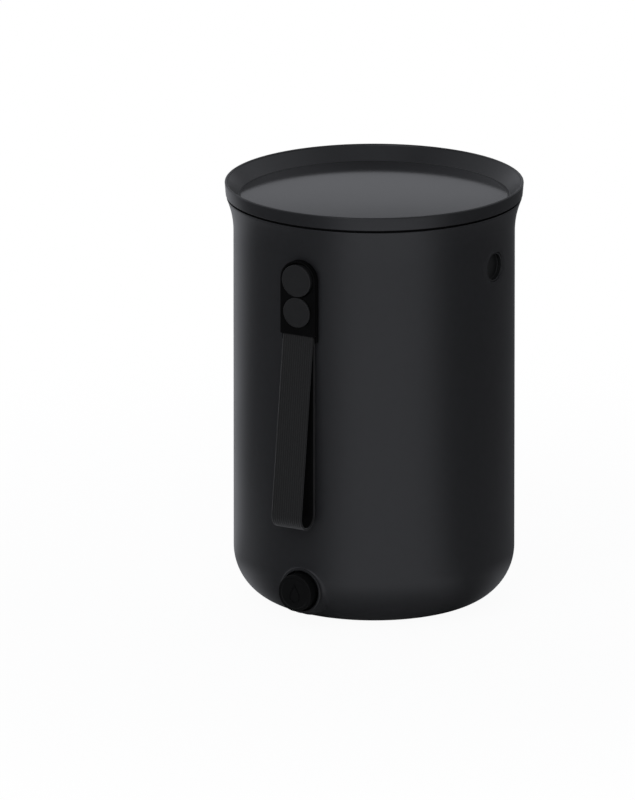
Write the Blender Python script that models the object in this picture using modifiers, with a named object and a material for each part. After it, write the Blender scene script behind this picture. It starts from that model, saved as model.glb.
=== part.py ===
"""Kitchen bokashi bin: a round lidded bucket with a drain tap, a strainer and a webbing strap.

Metres, +Z up. The origin is the middle of the base and the bin's axis is Z. The strap and the
tap face -Y. Pieces that face outwards are modelled with local +Z pointing away from the axis,
so that their second coordinate is a distance from the axis.
"""

import math

import bmesh
import bpy
from mathutils import Matrix

MM = 0.001

# How pieces meet
GAP = 0.3 * MM
OVERRUN = 2.0 * MM
RUNNING_CLEARANCE = 0.4 * MM
WELD_DISTANCE = 0.001 * MM
TURN_MERGE_DISTANCE = 0.01 * MM

# Bin body
BODY_RADIUS = 113.0 * MM
BODY_WALL = 3.0 * MM
BODY_HEIGHT = 332.7 * MM
BASE_CORNER_SHARE = 0.3894
BASE_CORNER_RADIUS = BASE_CORNER_SHARE * BODY_RADIUS
FLARE_HEIGHT = 28.2 * MM
FLARE_RADIUS = 72.0 * MM
RIM_CHAMFER = 0.8 * MM
BASE_RING_WIDTH = 9.0 * MM
BASE_RECESS_WIDTH = 20.0 * MM
BASE_RECESS_DEPTH = 1.2 * MM

# Lid
LID_STANDOFF = 3.1 * MM
LID_OVERHANG = 1.25 * MM
LID_BAND_HEIGHT = 9.6 * MM
LID_BAND_DRAFT = 0.8 * MM
LID_WALL = 2.3 * MM
LID_DISH_INSET = 0.4 * MM
LID_DISH_DEPTH = 10.9 * MM
LID_PANEL = 2.6 * MM
LID_GROOVE_DEPTH = 3.6 * MM
SKIRT_DEPTH = 16.0 * MM
SKIRT_CLEARANCE = 0.6 * MM

# Lid seal
SEAL_RECESS = 2.4 * MM
SEAL_SKIRT_CLEARANCE = 3.2 * MM
SEAL_KEY_HEIGHT = 2.3 * MM
SEAL_CONE_CLEARANCE = 0.45 * MM

# Strap sockets
SOCKET_DROP = 43.5 * MM
SOCKET_BORE_RADIUS = 10.75 * MM
SOCKET_DEPTH = 4.5 * MM
CUP_WALL = 1.35 * MM
CUP_MOUTH_RECESS = 0.8 * MM
CUP_FLANGE_RADIUS = 15.5 * MM
CUP_FLANGE = 1.5 * MM
CUP_FLANGE_CLEARANCE = 0.6 * MM

# Strainer
STRAINER_OVER_BOSS = 5.5 * MM
STRAINER_CLEARANCE = 1.6 * MM
STRAINER_PLATE = 2.4 * MM
STRAINER_LIP_HEIGHT = 5.0 * MM
STRAINER_LIP = 2.0 * MM
NOTCH_CLEARANCE = 2.0 * MM
SLOT_WIDTH = 3.0 * MM
SLOT_PITCH = 18.0 * MM
SLOT_LENGTH_SHARE = 0.13
SLOT_RING_SHARES = (0.22, 0.405, 0.645, 0.85)
LEG_PLACE_SHARE = 0.526
LEG_TOP_RADIUS = 5.0 * MM
LEG_FOOT_RADIUS = 7.0 * MM
LEG_FOOT_HEIGHT = 3.0 * MM
LEG_SPIGOT_RADIUS = 3.6 * MM
LEG_TURNS = {"front": 0, "right": 90, "rear": 180, "left": 270}

# Tap seat in the body
TAP_HEIGHT = 31.0 * MM
COLLAR_STAND = 1.5 * MM
COLLAR_LIP = 2.1 * MM
COLLAR_FOOT_RADIUS = 22.3 * MM
COLLAR_FLARE_DEPTH = 8.5 * MM
COLLAR_EDGE = 0.6 * MM
COLLAR_FLARE_SHARES = (0.25, 0.5, 0.75, 1.0)
POCKET_CLEARANCE = 1.5 * MM
POCKET_DEPTH = 10.0 * MM
POCKET_WALL = 3.0 * MM
SPOT_FACE_CLEARANCE = 1.0 * MM
SPOT_FACE_DEPTH = 1.0 * MM

# Tap
SPIGOT_RADIUS = 8.0 * MM
SPIGOT_TAIL = 13.0 * MM
TAP_BORE_RADIUS = 4.5 * MM
TAP_FLANGE_RADIUS = 13.6 * MM
TAP_FLANGE = 2.0 * MM
BARREL_RADIUS = 9.6 * MM
BARREL_LENGTH = 12.5 * MM
BARREL_END_WALL = 1.8 * MM
BARREL_CHAMFER = 0.6 * MM
PORT_RADIUS = 2.2 * MM
PORT_SETBACK = 4.2 * MM
GROOVE_WIDTH = 1.9 * MM
GROOVE_DEPTH = 1.4 * MM
GROOVE_SETBACK = 1.3 * MM
GROOVE_LAND = 0.6 * MM
GASKET_THICKNESS = 1.6 * MM
GASKET_RADIUS = 13.0 * MM
WASHER_THICKNESS = 1.5 * MM
WASHER_RADIUS = 14.5 * MM
NUT_THICKNESS = 6.0 * MM
NUT_ACROSS_FLATS = 24.0 * MM
KNOB_RADIUS = 15.0 * MM
KNOB_END_WALL = 2.0 * MM
KNOB_BORE_CLEARANCE = 0.5 * MM
KNOB_BEVEL = 1.0 * MM
KNOB_DISH_DEPTH = 0.5 * MM
KNOB_DISH_MARGIN = 2.2 * MM

# Studs of the strap
STUD_HEAD_GAP = 0.75 * MM
STUD_NECK_RADIUS = 7.0 * MM
STUD_PIN_RADIUS = 4.3 * MM
STUD_BEVEL = 1.0 * MM
ANCHOR_HEAD_RADIUS = 13.2 * MM
ANCHOR_HEAD_STAND = 2.7 * MM
ANCHOR_HEAD_CLEARANCE = 1.0 * MM
FREE_HEAD_RADIUS = 12.25 * MM
FREE_HEAD_THICKNESS = 2.0 * MM
PLUG_STANDOFF = 0.6 * MM
PLUG_CHAMFER = 0.5 * MM
PARKING_CLEARANCE = 0.65 * MM

# Strap plates
PLATE_THICKNESS = 2.6 * MM
PLATE_BORDER = 1.8 * MM
PLATE_FOOT_ROUND = 1.2 * MM
FREE_PLATE_MARGIN = 6.75 * MM
ANCHOR_PLATE_REACH = 5.6 * MM
LAP_HEIGHT = 10.0 * MM
LAP_WALL = 0.5 * MM

# Strap webbing
WEBBING_SIDE_MARGIN = 2.0 * MM
WEBBING_THICKNESS = 1.6 * MM
STRAP_BEND_RADIUS = 10.3 * MM
STRAP_TAP_CLEARANCE = 43.7 * MM
STRAP_TURN_RADIUS = 30.0 * MM

# Facets
BODY_STEPS = 56
SMALL_STEPS = 24
RING_STEPS = 16
CORNER_STEPS = 8
FLARE_STEPS = 4
BEND_STEPS = 14

# Turns of the pieces that face outwards, in degrees from the front towards +X
FRONT = 0
RIGHT = 90
REAR = 180

# Places worked out from the sizes above
INNER_RADIUS = BODY_RADIUS - BODY_WALL
FLARE_FOOT = BODY_HEIGHT - FLARE_HEIGHT
RIM_RADIUS = BODY_RADIUS + FLARE_RADIUS - math.sqrt(FLARE_RADIUS**2 - FLARE_HEIGHT**2)
BASE_RECESS_RADIUS = BODY_RADIUS - BASE_CORNER_RADIUS - BASE_RING_WIDTH
BASE_PAD_RADIUS = BASE_RECESS_RADIUS - BASE_RECESS_WIDTH
LID_BAND_FOOT = BODY_HEIGHT + LID_STANDOFF
LID_TOP = LID_BAND_FOOT + LID_BAND_HEIGHT
DISH_FLOOR = LID_TOP - LID_DISH_DEPTH
PANEL_UNDERSIDE = DISH_FLOOR - LID_PANEL
SKIRT_RADIUS = INNER_RADIUS - SKIRT_CLEARANCE
LID_RADIUS = RIM_RADIUS + LID_OVERHANG
LID_DISH_RADIUS = SKIRT_RADIUS - LID_DISH_INSET
SEAL_RADIUS = LID_RADIUS - SEAL_RECESS
SEAL_BORE_RADIUS = SKIRT_RADIUS + SEAL_SKIRT_CLEARANCE
SOCKET_HEIGHT = BODY_HEIGHT - SOCKET_DROP
SOCKET_FLOOR = BODY_RADIUS - SOCKET_DEPTH
CUP_RADIUS = SOCKET_BORE_RADIUS + CUP_WALL
CUP_FLANGE_FACE = math.sqrt(INNER_RADIUS**2 - CUP_FLANGE_RADIUS**2) - CUP_FLANGE_CLEARANCE
CUP_BACK = CUP_FLANGE_FACE - CUP_FLANGE
POCKET_RADIUS = KNOB_RADIUS + POCKET_CLEARANCE
COLLAR_FACE = BODY_RADIUS + COLLAR_STAND
COLLAR_RADIUS = POCKET_RADIUS + COLLAR_LIP
POCKET_FLOOR = COLLAR_FACE - POCKET_DEPTH
BOSS_BACK = POCKET_FLOOR - POCKET_WALL
BOSS_RADIUS = POCKET_RADIUS + POCKET_WALL
STRAINER_RADIUS = INNER_RADIUS - STRAINER_CLEARANCE
STRAINER_HEIGHT = TAP_HEIGHT + BOSS_RADIUS + STRAINER_OVER_BOSS
LEG_PLACE_RADIUS = LEG_PLACE_SHARE * STRAINER_RADIUS
SLOT_LENGTH = SLOT_LENGTH_SHARE * STRAINER_RADIUS
TAP_FLANGE_BACK = POCKET_FLOOR + GAP + GASKET_THICKNESS + GAP
TAP_FLANGE_FACE = TAP_FLANGE_BACK + TAP_FLANGE
BARREL_END = TAP_FLANGE_FACE + BARREL_LENGTH
PORT_PLACE = BARREL_END - PORT_SETBACK
KNOB_FACE = BARREL_END + GAP + KNOB_END_WALL
PLUG_RADIUS = SOCKET_BORE_RADIUS - GAP
ANCHOR_PLATE_BACK = BODY_RADIUS + GAP
ANCHOR_PLATE_FACE = ANCHOR_PLATE_BACK + PLATE_THICKNESS
FREE_PLATE_BACK = ANCHOR_PLATE_FACE + GAP
FREE_PLATE_FACE = FREE_PLATE_BACK + PLATE_THICKNESS
STUD_PITCH = ANCHOR_HEAD_RADIUS + STUD_HEAD_GAP + FREE_HEAD_RADIUS
FREE_STUD_HEIGHT = SOCKET_HEIGHT - STUD_PITCH
FREE_PLATE_FOOT = STUD_PITCH + FREE_HEAD_RADIUS + FREE_PLATE_MARGIN
ANCHOR_PLATE_FOOT = FREE_PLATE_FOOT + ANCHOR_PLATE_REACH
PLATE_WIDTH = 2 * (ANCHOR_HEAD_RADIUS + ANCHOR_HEAD_CLEARANCE + PLATE_BORDER)
WEBBING_WIDTH = PLATE_WIDTH - 2 * WEBBING_SIDE_MARGIN
STRAP_BEND_HEIGHT = TAP_HEIGHT + COLLAR_FOOT_RADIUS + STRAP_TAP_CLEARANCE
INNER_RUN = ANCHOR_PLATE_BACK + LAP_WALL + GAP + WEBBING_THICKNESS / 2
OUTER_LAP = FREE_PLATE_FACE - LAP_WALL - GAP - WEBBING_THICKNESS / 2


def outward(turn):
    """Rotation that points local +Z away from the bin's axis."""
    return (math.radians(90), 0.0, math.radians(turn))


# Rotation of an outline drawn as distance from the axis against height, on the front
ACROSS = (math.radians(90), 0.0, math.radians(-90))


def arc(centre, radius, start, end, steps):
    """Points of an arc, with its angles in degrees from the first coordinate's direction."""
    points = []
    for step in range(steps + 1):
        angle = math.radians(start + (end - start) * step / steps)
        points.append((centre[0] + radius * math.cos(angle), centre[1] + radius * math.sin(angle)))
    return points


def skin(inset):
    """The body's wall surface this far inside the outer one, from the base up to the rim."""
    corner_centre = (BODY_RADIUS - BASE_CORNER_RADIUS, BASE_CORNER_RADIUS)
    corner = arc(corner_centre, BASE_CORNER_RADIUS - inset, -90, 0, CORNER_STEPS)
    bend = FLARE_RADIUS + inset
    sweep = math.degrees(math.asin(FLARE_HEIGHT / bend))
    flare = arc((BODY_RADIUS + FLARE_RADIUS, FLARE_FOOT), bend, 180, 180 - sweep, FLARE_STEPS)
    return corner + flare


# Scene, materials and solids


def empty_scene():
    """Clears the scene and returns new collections for the parts and for the cutters."""
    for obj in list(bpy.data.objects):
        bpy.data.objects.remove(obj, do_unlink=True)
    for old in list(bpy.data.collections):
        bpy.data.collections.remove(old)
    made = []
    for name in ("Bokashi bin", "Cutters"):
        collection = bpy.data.collections.new(name)
        bpy.context.scene.collection.children.link(collection)
        made.append(collection)
    return made


PARTS, CUTTERS = empty_scene()


def finish(name, colour, roughness, metallic=0.0):
    """A Principled material."""
    material = bpy.data.materials.new(name)
    material.use_nodes = True
    shader = material.node_tree.nodes["Principled BSDF"]
    shader.inputs["Base Color"].default_value = (*colour, 1.0)
    shader.inputs["Roughness"].default_value = roughness
    shader.inputs["Metallic"].default_value = metallic
    return material


ANTHRACITE = finish("anthracite plastic", (0.021, 0.021, 0.023), 0.42)
BLACK = finish("black plastic", (0.007, 0.007, 0.007), 0.45)
CHARCOAL = finish("charcoal plastic", (0.024, 0.024, 0.024), 0.5)
WEBBING = finish("black webbing", (0.014, 0.014, 0.014), 0.85)
SILICONE = finish("dark silicone", (0.018, 0.018, 0.018), 0.6)
RUBBER = finish("black rubber", (0.01, 0.01, 0.01), 0.7)
STRAINER_GREY = finish("grey strainer plastic", (0.09, 0.09, 0.095), 0.5)


def add(name, mesh, material, location=(0.0, 0.0, 0.0), rotation=(0.0, 0.0, 0.0)):
    """Links a mesh into the parts as an object, shaded smooth except at its edges."""
    mesh.shade_smooth()
    mesh.set_sharp_from_angle(angle=math.radians(35))
    mesh.materials.clear()
    mesh.materials.append(material)
    obj = bpy.data.objects.new(name, mesh)
    obj.location = location
    obj.rotation_euler = rotation
    PARTS.objects.link(obj)
    return obj


def solid_mesh(obj):
    """The evaluated mesh of a curve or a modified object, welded; the object is removed."""
    bpy.context.scene.collection.objects.link(obj)
    bpy.context.view_layer.update()
    graph = bpy.context.evaluated_depsgraph_get()
    mesh = bpy.data.meshes.new_from_object(obj.evaluated_get(graph))
    mesh.name = obj.name
    bpy.data.objects.remove(obj, do_unlink=True)
    shape = bmesh.new()
    shape.from_mesh(mesh)
    bmesh.ops.remove_doubles(shape, verts=shape.verts, dist=WELD_DISTANCE)
    shape.to_mesh(mesh)
    shape.free()
    return mesh


def turned(name, profile, material, steps=SMALL_STEPS, ring=False, **place):
    """A profile turned about local Z. It runs down its outer side, and a ring's closes on itself."""
    count = len(profile)
    edges = [(point, point + 1) for point in range(count - 1)]
    if ring:
        edges.append((count - 1, 0))
    mesh = bpy.data.meshes.new(name)
    mesh.from_pydata([(radius, 0.0, height) for radius, height in profile], edges, [])
    obj = bpy.data.objects.new(name, mesh)
    screw = obj.modifiers.new("Turn", "SCREW")
    screw.axis = "Z"
    screw.steps = steps
    screw.render_steps = steps
    screw.use_merge_vertices = True
    screw.merge_threshold = TURN_MERGE_DISTANCE
    return add(name, solid_mesh(obj), material, **place)


def extruded(name, outlines, thickness, material, **place):
    """Flat outlines, the first with the others as its holes, given a thickness about local Z."""
    curve = bpy.data.curves.new(name, "CURVE")
    curve.dimensions = "2D"
    curve.fill_mode = "BOTH"
    curve.extrude = thickness / 2
    for outline in outlines:
        spline = curve.splines.new("POLY")
        spline.points.add(len(outline) - 1)
        for point, (across, along) in zip(spline.points, outline):
            point.co = (across, along, 0.0, 1.0)
        spline.use_cyclic_u = True
    return add(name, solid_mesh(bpy.data.objects.new(name, curve)), material, **place)


def rod(name, radius, start, end, material, sides=SMALL_STEPS, **place):
    """A cylinder, or a prism of few sides, along local Z from start to end."""
    shape = bmesh.new()
    bmesh.ops.create_cone(
        shape, cap_ends=True, segments=sides, radius1=radius, radius2=radius, depth=end - start
    )
    bmesh.ops.translate(shape, verts=shape.verts, vec=(0.0, 0.0, (start + end) / 2))
    mesh = bpy.data.meshes.new(name)
    shape.to_mesh(mesh)
    shape.free()
    return add(name, mesh, material, **place)


def block(name, low, high, material, **place):
    """A box between two corners."""
    shape = bmesh.new()
    bmesh.ops.create_cube(shape, size=1.0)
    bmesh.ops.scale(shape, verts=shape.verts, vec=[b - a for a, b in zip(low, high)])
    bmesh.ops.translate(shape, verts=shape.verts, vec=[(a + b) / 2 for a, b in zip(low, high)])
    mesh = bpy.data.meshes.new(name)
    shape.to_mesh(mesh)
    shape.free()
    return add(name, mesh, material, **place)


def combine(obj, tool, operation="DIFFERENCE"):
    """Cuts a tool from an object, or joins it on, and puts the tool with the cutters."""
    boolean = obj.modifiers.new(tool.name, "BOOLEAN")
    boolean.operation = operation
    boolean.object = tool
    if CUTTERS not in tool.users_collection:
        PARTS.objects.unlink(tool)
        CUTTERS.objects.link(tool)
    tool.hide_render = True
    tool.display_type = "WIRE"


def pivot(name, location):
    """An empty on a joint's axis."""
    obj = bpy.data.objects.new(name, None)
    obj.location = location
    obj.empty_display_size = BODY_WALL
    PARTS.objects.link(obj)
    return obj


def hang(parent, *pieces):
    """Parents pieces to a pivot without moving them."""
    for piece in pieces:
        piece.location = piece.location - parent.location
        piece.parent = parent


# Bin body and its sockets


def bin_body():
    """The bucket: a turned shell with the tap's seat and the holes for the sockets."""
    inner = skin(BODY_WALL)
    outer = skin(0.0)[::-1]
    mouth, edge = inner[-1][0], outer[0][0]
    rim = [
        (mouth, BODY_HEIGHT - RIM_CHAMFER),
        (mouth + RIM_CHAMFER, BODY_HEIGHT),
        (edge - RIM_CHAMFER, BODY_HEIGHT),
        (edge, BODY_HEIGHT - RIM_CHAMFER),
    ]
    underside = [
        (BASE_RECESS_RADIUS, 0.0),
        (BASE_RECESS_RADIUS - BASE_RECESS_DEPTH, BASE_RECESS_DEPTH),
        (BASE_PAD_RADIUS + BASE_RECESS_DEPTH, BASE_RECESS_DEPTH),
        (BASE_PAD_RADIUS, 0.0),
        (0.0, 0.0),
    ]
    profile = [(0.0, BODY_WALL)] + inner[:-1] + rim + outer[1:] + underside
    body = turned("bin_body", profile, ANTHRACITE, steps=BODY_STEPS)
    for name, turn in (("front", FRONT), ("right", RIGHT), ("rear", REAR)):
        cutter = rod(
            name + "_socket_hole",
            CUP_RADIUS + GAP,
            CUP_BACK - OVERRUN,
            BODY_RADIUS + OVERRUN,
            ANTHRACITE,
            location=(0.0, 0.0, SOCKET_HEIGHT),
            rotation=outward(turn),
        )
        combine(body, cutter)
    seat = {"location": (0.0, 0.0, TAP_HEIGHT), "rotation": outward(FRONT)}
    combine(body, tap_collar(seat), "UNION")
    boss_back = BOSS_BACK - SPOT_FACE_DEPTH
    boss_face = COLLAR_FACE - COLLAR_FLARE_DEPTH
    boss = rod("tap_boss", BOSS_RADIUS, boss_back, boss_face, ANTHRACITE, **seat)
    combine(body, boss, "UNION")
    combine(body, tap_seat(seat))
    return body


def tap_collar(seat):
    """The flared collar round the tap, which stops in the middle of the body's wall."""
    foot = COLLAR_FACE - COLLAR_FLARE_DEPTH
    spread = COLLAR_FOOT_RADIUS - COLLAR_RADIUS
    flare = []
    for share in COLLAR_FLARE_SHARES:
        out = spread * (1 - math.cos(math.radians(90 * share)))
        flare.append((COLLAR_RADIUS + out, COLLAR_FACE - COLLAR_EDGE - share * COLLAR_FLARE_DEPTH))
    profile = [
        (0.0, COLLAR_FACE),
        (COLLAR_RADIUS - COLLAR_EDGE, COLLAR_FACE),
        (COLLAR_RADIUS, COLLAR_FACE - COLLAR_EDGE),
        *flare,
        (COLLAR_FOOT_RADIUS, foot - BASE_CORNER_RADIUS / 2),
        (0.0, foot - BASE_CORNER_RADIUS / 2),
    ]
    collar = turned("tap_collar", profile, ANTHRACITE, **seat)
    middle = skin(BODY_WALL / 2)
    core_profile = [(0.0, BODY_HEIGHT)] + middle[::-1] + [(0.0, BODY_WALL / 2)]
    combine(collar, turned("wall_core", core_profile, ANTHRACITE, steps=BODY_STEPS))
    return collar


def tap_seat(seat):
    """The stepped cutter for the tap: its pocket, the spigot's hole and the washer's spot face."""
    past_face = COLLAR_FACE + OVERRUN
    hole = SPIGOT_RADIUS + RUNNING_CLEARANCE
    spot = WASHER_RADIUS + SPOT_FACE_CLEARANCE
    profile = [
        (0.0, past_face),
        (POCKET_RADIUS, past_face),
        (POCKET_RADIUS, POCKET_FLOOR),
        (hole, POCKET_FLOOR),
        (hole, BOSS_BACK),
        (spot, BOSS_BACK),
        (spot, BOSS_BACK - SPIGOT_TAIL),
        (0.0, BOSS_BACK - SPIGOT_TAIL),
    ]
    return turned("tap_seat", profile, ANTHRACITE, **seat)


def socket_cup(name, turn):
    """A blind cup that lines a strap socket, pushed in from inside the bin."""
    profile = [
        (0.0, SOCKET_FLOOR),
        (SOCKET_BORE_RADIUS, SOCKET_FLOOR),
        (SOCKET_BORE_RADIUS, BODY_RADIUS - CUP_MOUTH_RECESS),
        (CUP_RADIUS, BODY_RADIUS - CUP_MOUTH_RECESS),
        (CUP_RADIUS, CUP_FLANGE_FACE),
        (CUP_FLANGE_RADIUS, CUP_FLANGE_FACE),
        (CUP_FLANGE_RADIUS, CUP_BACK),
        (0.0, CUP_BACK),
    ]
    place = {"location": (0.0, 0.0, SOCKET_HEIGHT), "rotation": outward(turn)}
    return turned(name, profile, BLACK, **place)


# Lid and seal


def cone_underside(height):
    """Radius of the underside of the lid's cone at this height."""
    run = LID_RADIUS - LID_WALL - LID_DISH_RADIUS
    rise = LID_DISH_DEPTH - LID_WALL / 2
    length = math.hypot(run, rise)
    foot_radius = LID_DISH_RADIUS + LID_WALL * rise / length
    foot_height = DISH_FLOOR - LID_WALL * run / length
    return foot_radius + (height - foot_height) * run / rise


def cone_height(radius):
    """Height of the underside of the lid's cone at this radius."""
    slope = cone_underside(LID_TOP) - cone_underside(DISH_FLOOR)
    return DISH_FLOOR + (radius - cone_underside(DISH_FLOOR)) * LID_DISH_DEPTH / slope


def lid():
    """The dished lid with its outer band, seal groove and skirt."""
    band_foot_radius = LID_RADIUS - LID_BAND_DRAFT
    groove_top = LID_BAND_FOOT + LID_GROOVE_DEPTH
    draft_at_groove = LID_BAND_DRAFT * LID_GROOVE_DEPTH / LID_BAND_HEIGHT
    rim_centre = (LID_RADIUS - LID_WALL / 2, LID_TOP - LID_WALL / 2)
    profile = [
        (0.0, DISH_FLOOR),
        (LID_DISH_RADIUS, DISH_FLOOR),
        *arc(rim_centre, LID_WALL / 2, 180, 0, 6),
        (band_foot_radius, LID_BAND_FOOT),
        (band_foot_radius - LID_WALL, LID_BAND_FOOT),
        (band_foot_radius - LID_WALL + draft_at_groove, groove_top),
        (cone_underside(groove_top), groove_top),
        (SKIRT_RADIUS, cone_height(SKIRT_RADIUS)),
        (SKIRT_RADIUS, PANEL_UNDERSIDE - SKIRT_DEPTH),
        (SKIRT_RADIUS - LID_WALL, PANEL_UNDERSIDE - SKIRT_DEPTH),
        (SKIRT_RADIUS - LID_WALL, PANEL_UNDERSIDE),
        (0.0, PANEL_UNDERSIDE),
    ]
    return turned("lid", profile, ANTHRACITE, steps=BODY_STEPS)


def lid_seal():
    """The ring that fills the gap under the lid's band, keyed into the groove."""
    foot = BODY_HEIGHT + GAP
    shoulder = LID_BAND_FOOT - GAP
    key_top = shoulder + SEAL_KEY_HEIGHT
    key_radius = LID_RADIUS - LID_BAND_DRAFT - LID_WALL - GAP
    profile = [
        (cone_underside(key_top) + SEAL_CONE_CLEARANCE, key_top),
        (key_radius, key_top),
        (key_radius, shoulder),
        (SEAL_RADIUS, shoulder),
        (SEAL_RADIUS, foot),
        (SEAL_BORE_RADIUS, foot),
        (SEAL_BORE_RADIUS, cone_height(SEAL_BORE_RADIUS - SEAL_CONE_CLEARANCE)),
    ]
    return turned("lid_seal", profile, SILICONE, steps=BODY_STEPS, ring=True)


# Strainer


def strainer_plate():
    """The slotted plate, notched so that it lifts out past the sockets."""
    top = STRAINER_HEIGHT + STRAINER_PLATE
    lip_top = STRAINER_HEIGHT + STRAINER_LIP_HEIGHT
    profile = [
        (0.0, top),
        (STRAINER_RADIUS - STRAINER_LIP, top),
        (STRAINER_RADIUS - STRAINER_LIP, lip_top),
        (STRAINER_RADIUS, lip_top),
        (STRAINER_RADIUS, STRAINER_HEIGHT),
        (0.0, STRAINER_HEIGHT),
    ]
    plate = turned("strainer_plate", profile, STRAINER_GREY, steps=BODY_STEPS)
    combine(plate, slot_cutter(STRAINER_HEIGHT - OVERRUN, top + OVERRUN))
    half_notch = CUP_FLANGE_RADIUS + NOTCH_CLEARANCE
    for name, turn in (("front", FRONT), ("right", RIGHT), ("rear", REAR)):
        notch = block(
            name + "_notch",
            (-half_notch, -STRAINER_RADIUS - OVERRUN, STRAINER_HEIGHT - OVERRUN),
            (half_notch, -CUP_BACK + NOTCH_CLEARANCE, lip_top + OVERRUN),
            STRAINER_GREY,
            rotation=(0.0, 0.0, math.radians(turn)),
        )
        combine(plate, notch)
    for name, turn in LEG_TURNS.items():
        hole = rod(
            name + "_leg_hole",
            LEG_SPIGOT_RADIUS + GAP,
            STRAINER_HEIGHT - OVERRUN,
            top + OVERRUN,
            STRAINER_GREY,
            sides=RING_STEPS,
            location=leg_place(turn),
        )
        combine(plate, hole)
    return plate


def slot_cutter(low, high):
    """Rings of radial slots, with as many to a ring as its length holds."""
    shape = bmesh.new()
    for ring, share in enumerate(SLOT_RING_SHARES):
        radius = share * STRAINER_RADIUS
        count = round(math.tau * radius / SLOT_PITCH)
        for slot in range(count):
            turn = math.tau * (slot + ring % 2 / 2) / count
            verts = bmesh.ops.create_cube(shape, size=1.0)["verts"]
            size = (SLOT_LENGTH, SLOT_WIDTH, high - low)
            bmesh.ops.scale(shape, verts=verts, vec=size)
            bmesh.ops.translate(shape, verts=verts, vec=(radius, 0.0, (low + high) / 2))
            bmesh.ops.rotate(shape, verts=verts, matrix=Matrix.Rotation(turn, 3, "Z"))
    mesh = bpy.data.meshes.new("strainer_slots")
    shape.to_mesh(mesh)
    shape.free()
    return add("strainer_slots", mesh, STRAINER_GREY)


def leg_place(turn):
    """Where a leg stands, turned from the front towards +X."""
    angle = math.radians(turn)
    return (LEG_PLACE_RADIUS * math.sin(angle), -LEG_PLACE_RADIUS * math.cos(angle), 0.0)


def strainer_leg(name, turn):
    """A tapered leg whose spigot clips through the plate."""
    foot = BODY_WALL + GAP
    shoulder = STRAINER_HEIGHT - GAP
    top = STRAINER_HEIGHT + STRAINER_PLATE
    profile = [
        (0.0, top),
        (LEG_SPIGOT_RADIUS, top),
        (LEG_SPIGOT_RADIUS, shoulder),
        (LEG_TOP_RADIUS, shoulder),
        (LEG_TOP_RADIUS, foot + LEG_FOOT_HEIGHT + LEG_FOOT_RADIUS),
        (LEG_FOOT_RADIUS, foot + LEG_FOOT_HEIGHT),
        (LEG_FOOT_RADIUS, foot),
        (0.0, foot),
    ]
    return turned(name, profile, STRAINER_GREY, steps=RING_STEPS, location=leg_place(turn))


# Tap

TAP_PLACE = {"location": (0.0, 0.0, TAP_HEIGHT), "rotation": outward(FRONT)}


def groove_starts():
    """Where the two seal grooves of the barrel begin, the rear one first."""
    rear = TAP_FLANGE_FACE + GROOVE_SETBACK
    return rear, rear + GROOVE_WIDTH + GROOVE_LAND


def tap_body():
    """The flanged spigot and ported barrel that the knob turns on."""
    rear, front = groove_starts()
    groove_radius = BARREL_RADIUS - GROOVE_DEPTH
    tail = BOSS_BACK - SPIGOT_TAIL
    profile = [
        (0.0, BARREL_END - BARREL_END_WALL),
        (TAP_BORE_RADIUS, BARREL_END - BARREL_END_WALL),
        (TAP_BORE_RADIUS, tail),
        (SPIGOT_RADIUS, tail),
        (SPIGOT_RADIUS, TAP_FLANGE_BACK),
        (TAP_FLANGE_RADIUS, TAP_FLANGE_BACK),
        (TAP_FLANGE_RADIUS, TAP_FLANGE_FACE),
        (BARREL_RADIUS, TAP_FLANGE_FACE),
        (BARREL_RADIUS, rear),
        (groove_radius, rear),
        (groove_radius, rear + GROOVE_WIDTH),
        (BARREL_RADIUS, rear + GROOVE_WIDTH),
        (BARREL_RADIUS, front),
        (groove_radius, front),
        (groove_radius, front + GROOVE_WIDTH),
        (BARREL_RADIUS, front + GROOVE_WIDTH),
        (BARREL_RADIUS, BARREL_END - BARREL_CHAMFER),
        (BARREL_RADIUS - BARREL_CHAMFER, BARREL_END),
        (0.0, BARREL_END),
    ]
    body = turned("tap_body", profile[::-1], BLACK, **TAP_PLACE)
    port = rod(
        "barrel_port",
        PORT_RADIUS,
        -BARREL_RADIUS - OVERRUN,
        0.0,
        BLACK,
        sides=RING_STEPS,
        location=(0.0, -PORT_PLACE, TAP_HEIGHT),
    )
    combine(body, port)
    return body


def tap_knob():
    """The round knob: a cup over the barrel, its outlet turned to the left when shut."""
    back = TAP_FLANGE_FACE + GAP
    bore = BARREL_RADIUS + KNOB_BORE_CLEARANCE
    dish = KNOB_RADIUS - KNOB_DISH_MARGIN
    profile = [
        (0.0, KNOB_FACE - KNOB_DISH_DEPTH),
        (dish - KNOB_DISH_DEPTH, KNOB_FACE - KNOB_DISH_DEPTH),
        (dish, KNOB_FACE),
        (KNOB_RADIUS - KNOB_BEVEL, KNOB_FACE),
        (KNOB_RADIUS, KNOB_FACE - KNOB_BEVEL),
        (KNOB_RADIUS, back),
        (bore, back),
        (bore, KNOB_FACE - KNOB_END_WALL),
        (0.0, KNOB_FACE - KNOB_END_WALL),
    ]
    knob = turned("tap_knob", profile, BLACK, **TAP_PLACE)
    outlet = rod(
        "knob_outlet",
        PORT_RADIUS + GAP,
        0.0,
        KNOB_RADIUS + OVERRUN,
        BLACK,
        sides=RING_STEPS,
        location=(0.0, -PORT_PLACE, TAP_HEIGHT),
        rotation=(0.0, math.radians(-90), 0.0),
    )
    combine(knob, outlet)
    return knob


def flat_ring(name, bore, radius, start, end, material):
    """A flat ring on the tap's axis."""
    profile = [(bore, end), (radius, end), (radius, start), (bore, start)]
    return turned(name, profile, material, ring=True, **TAP_PLACE)


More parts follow.
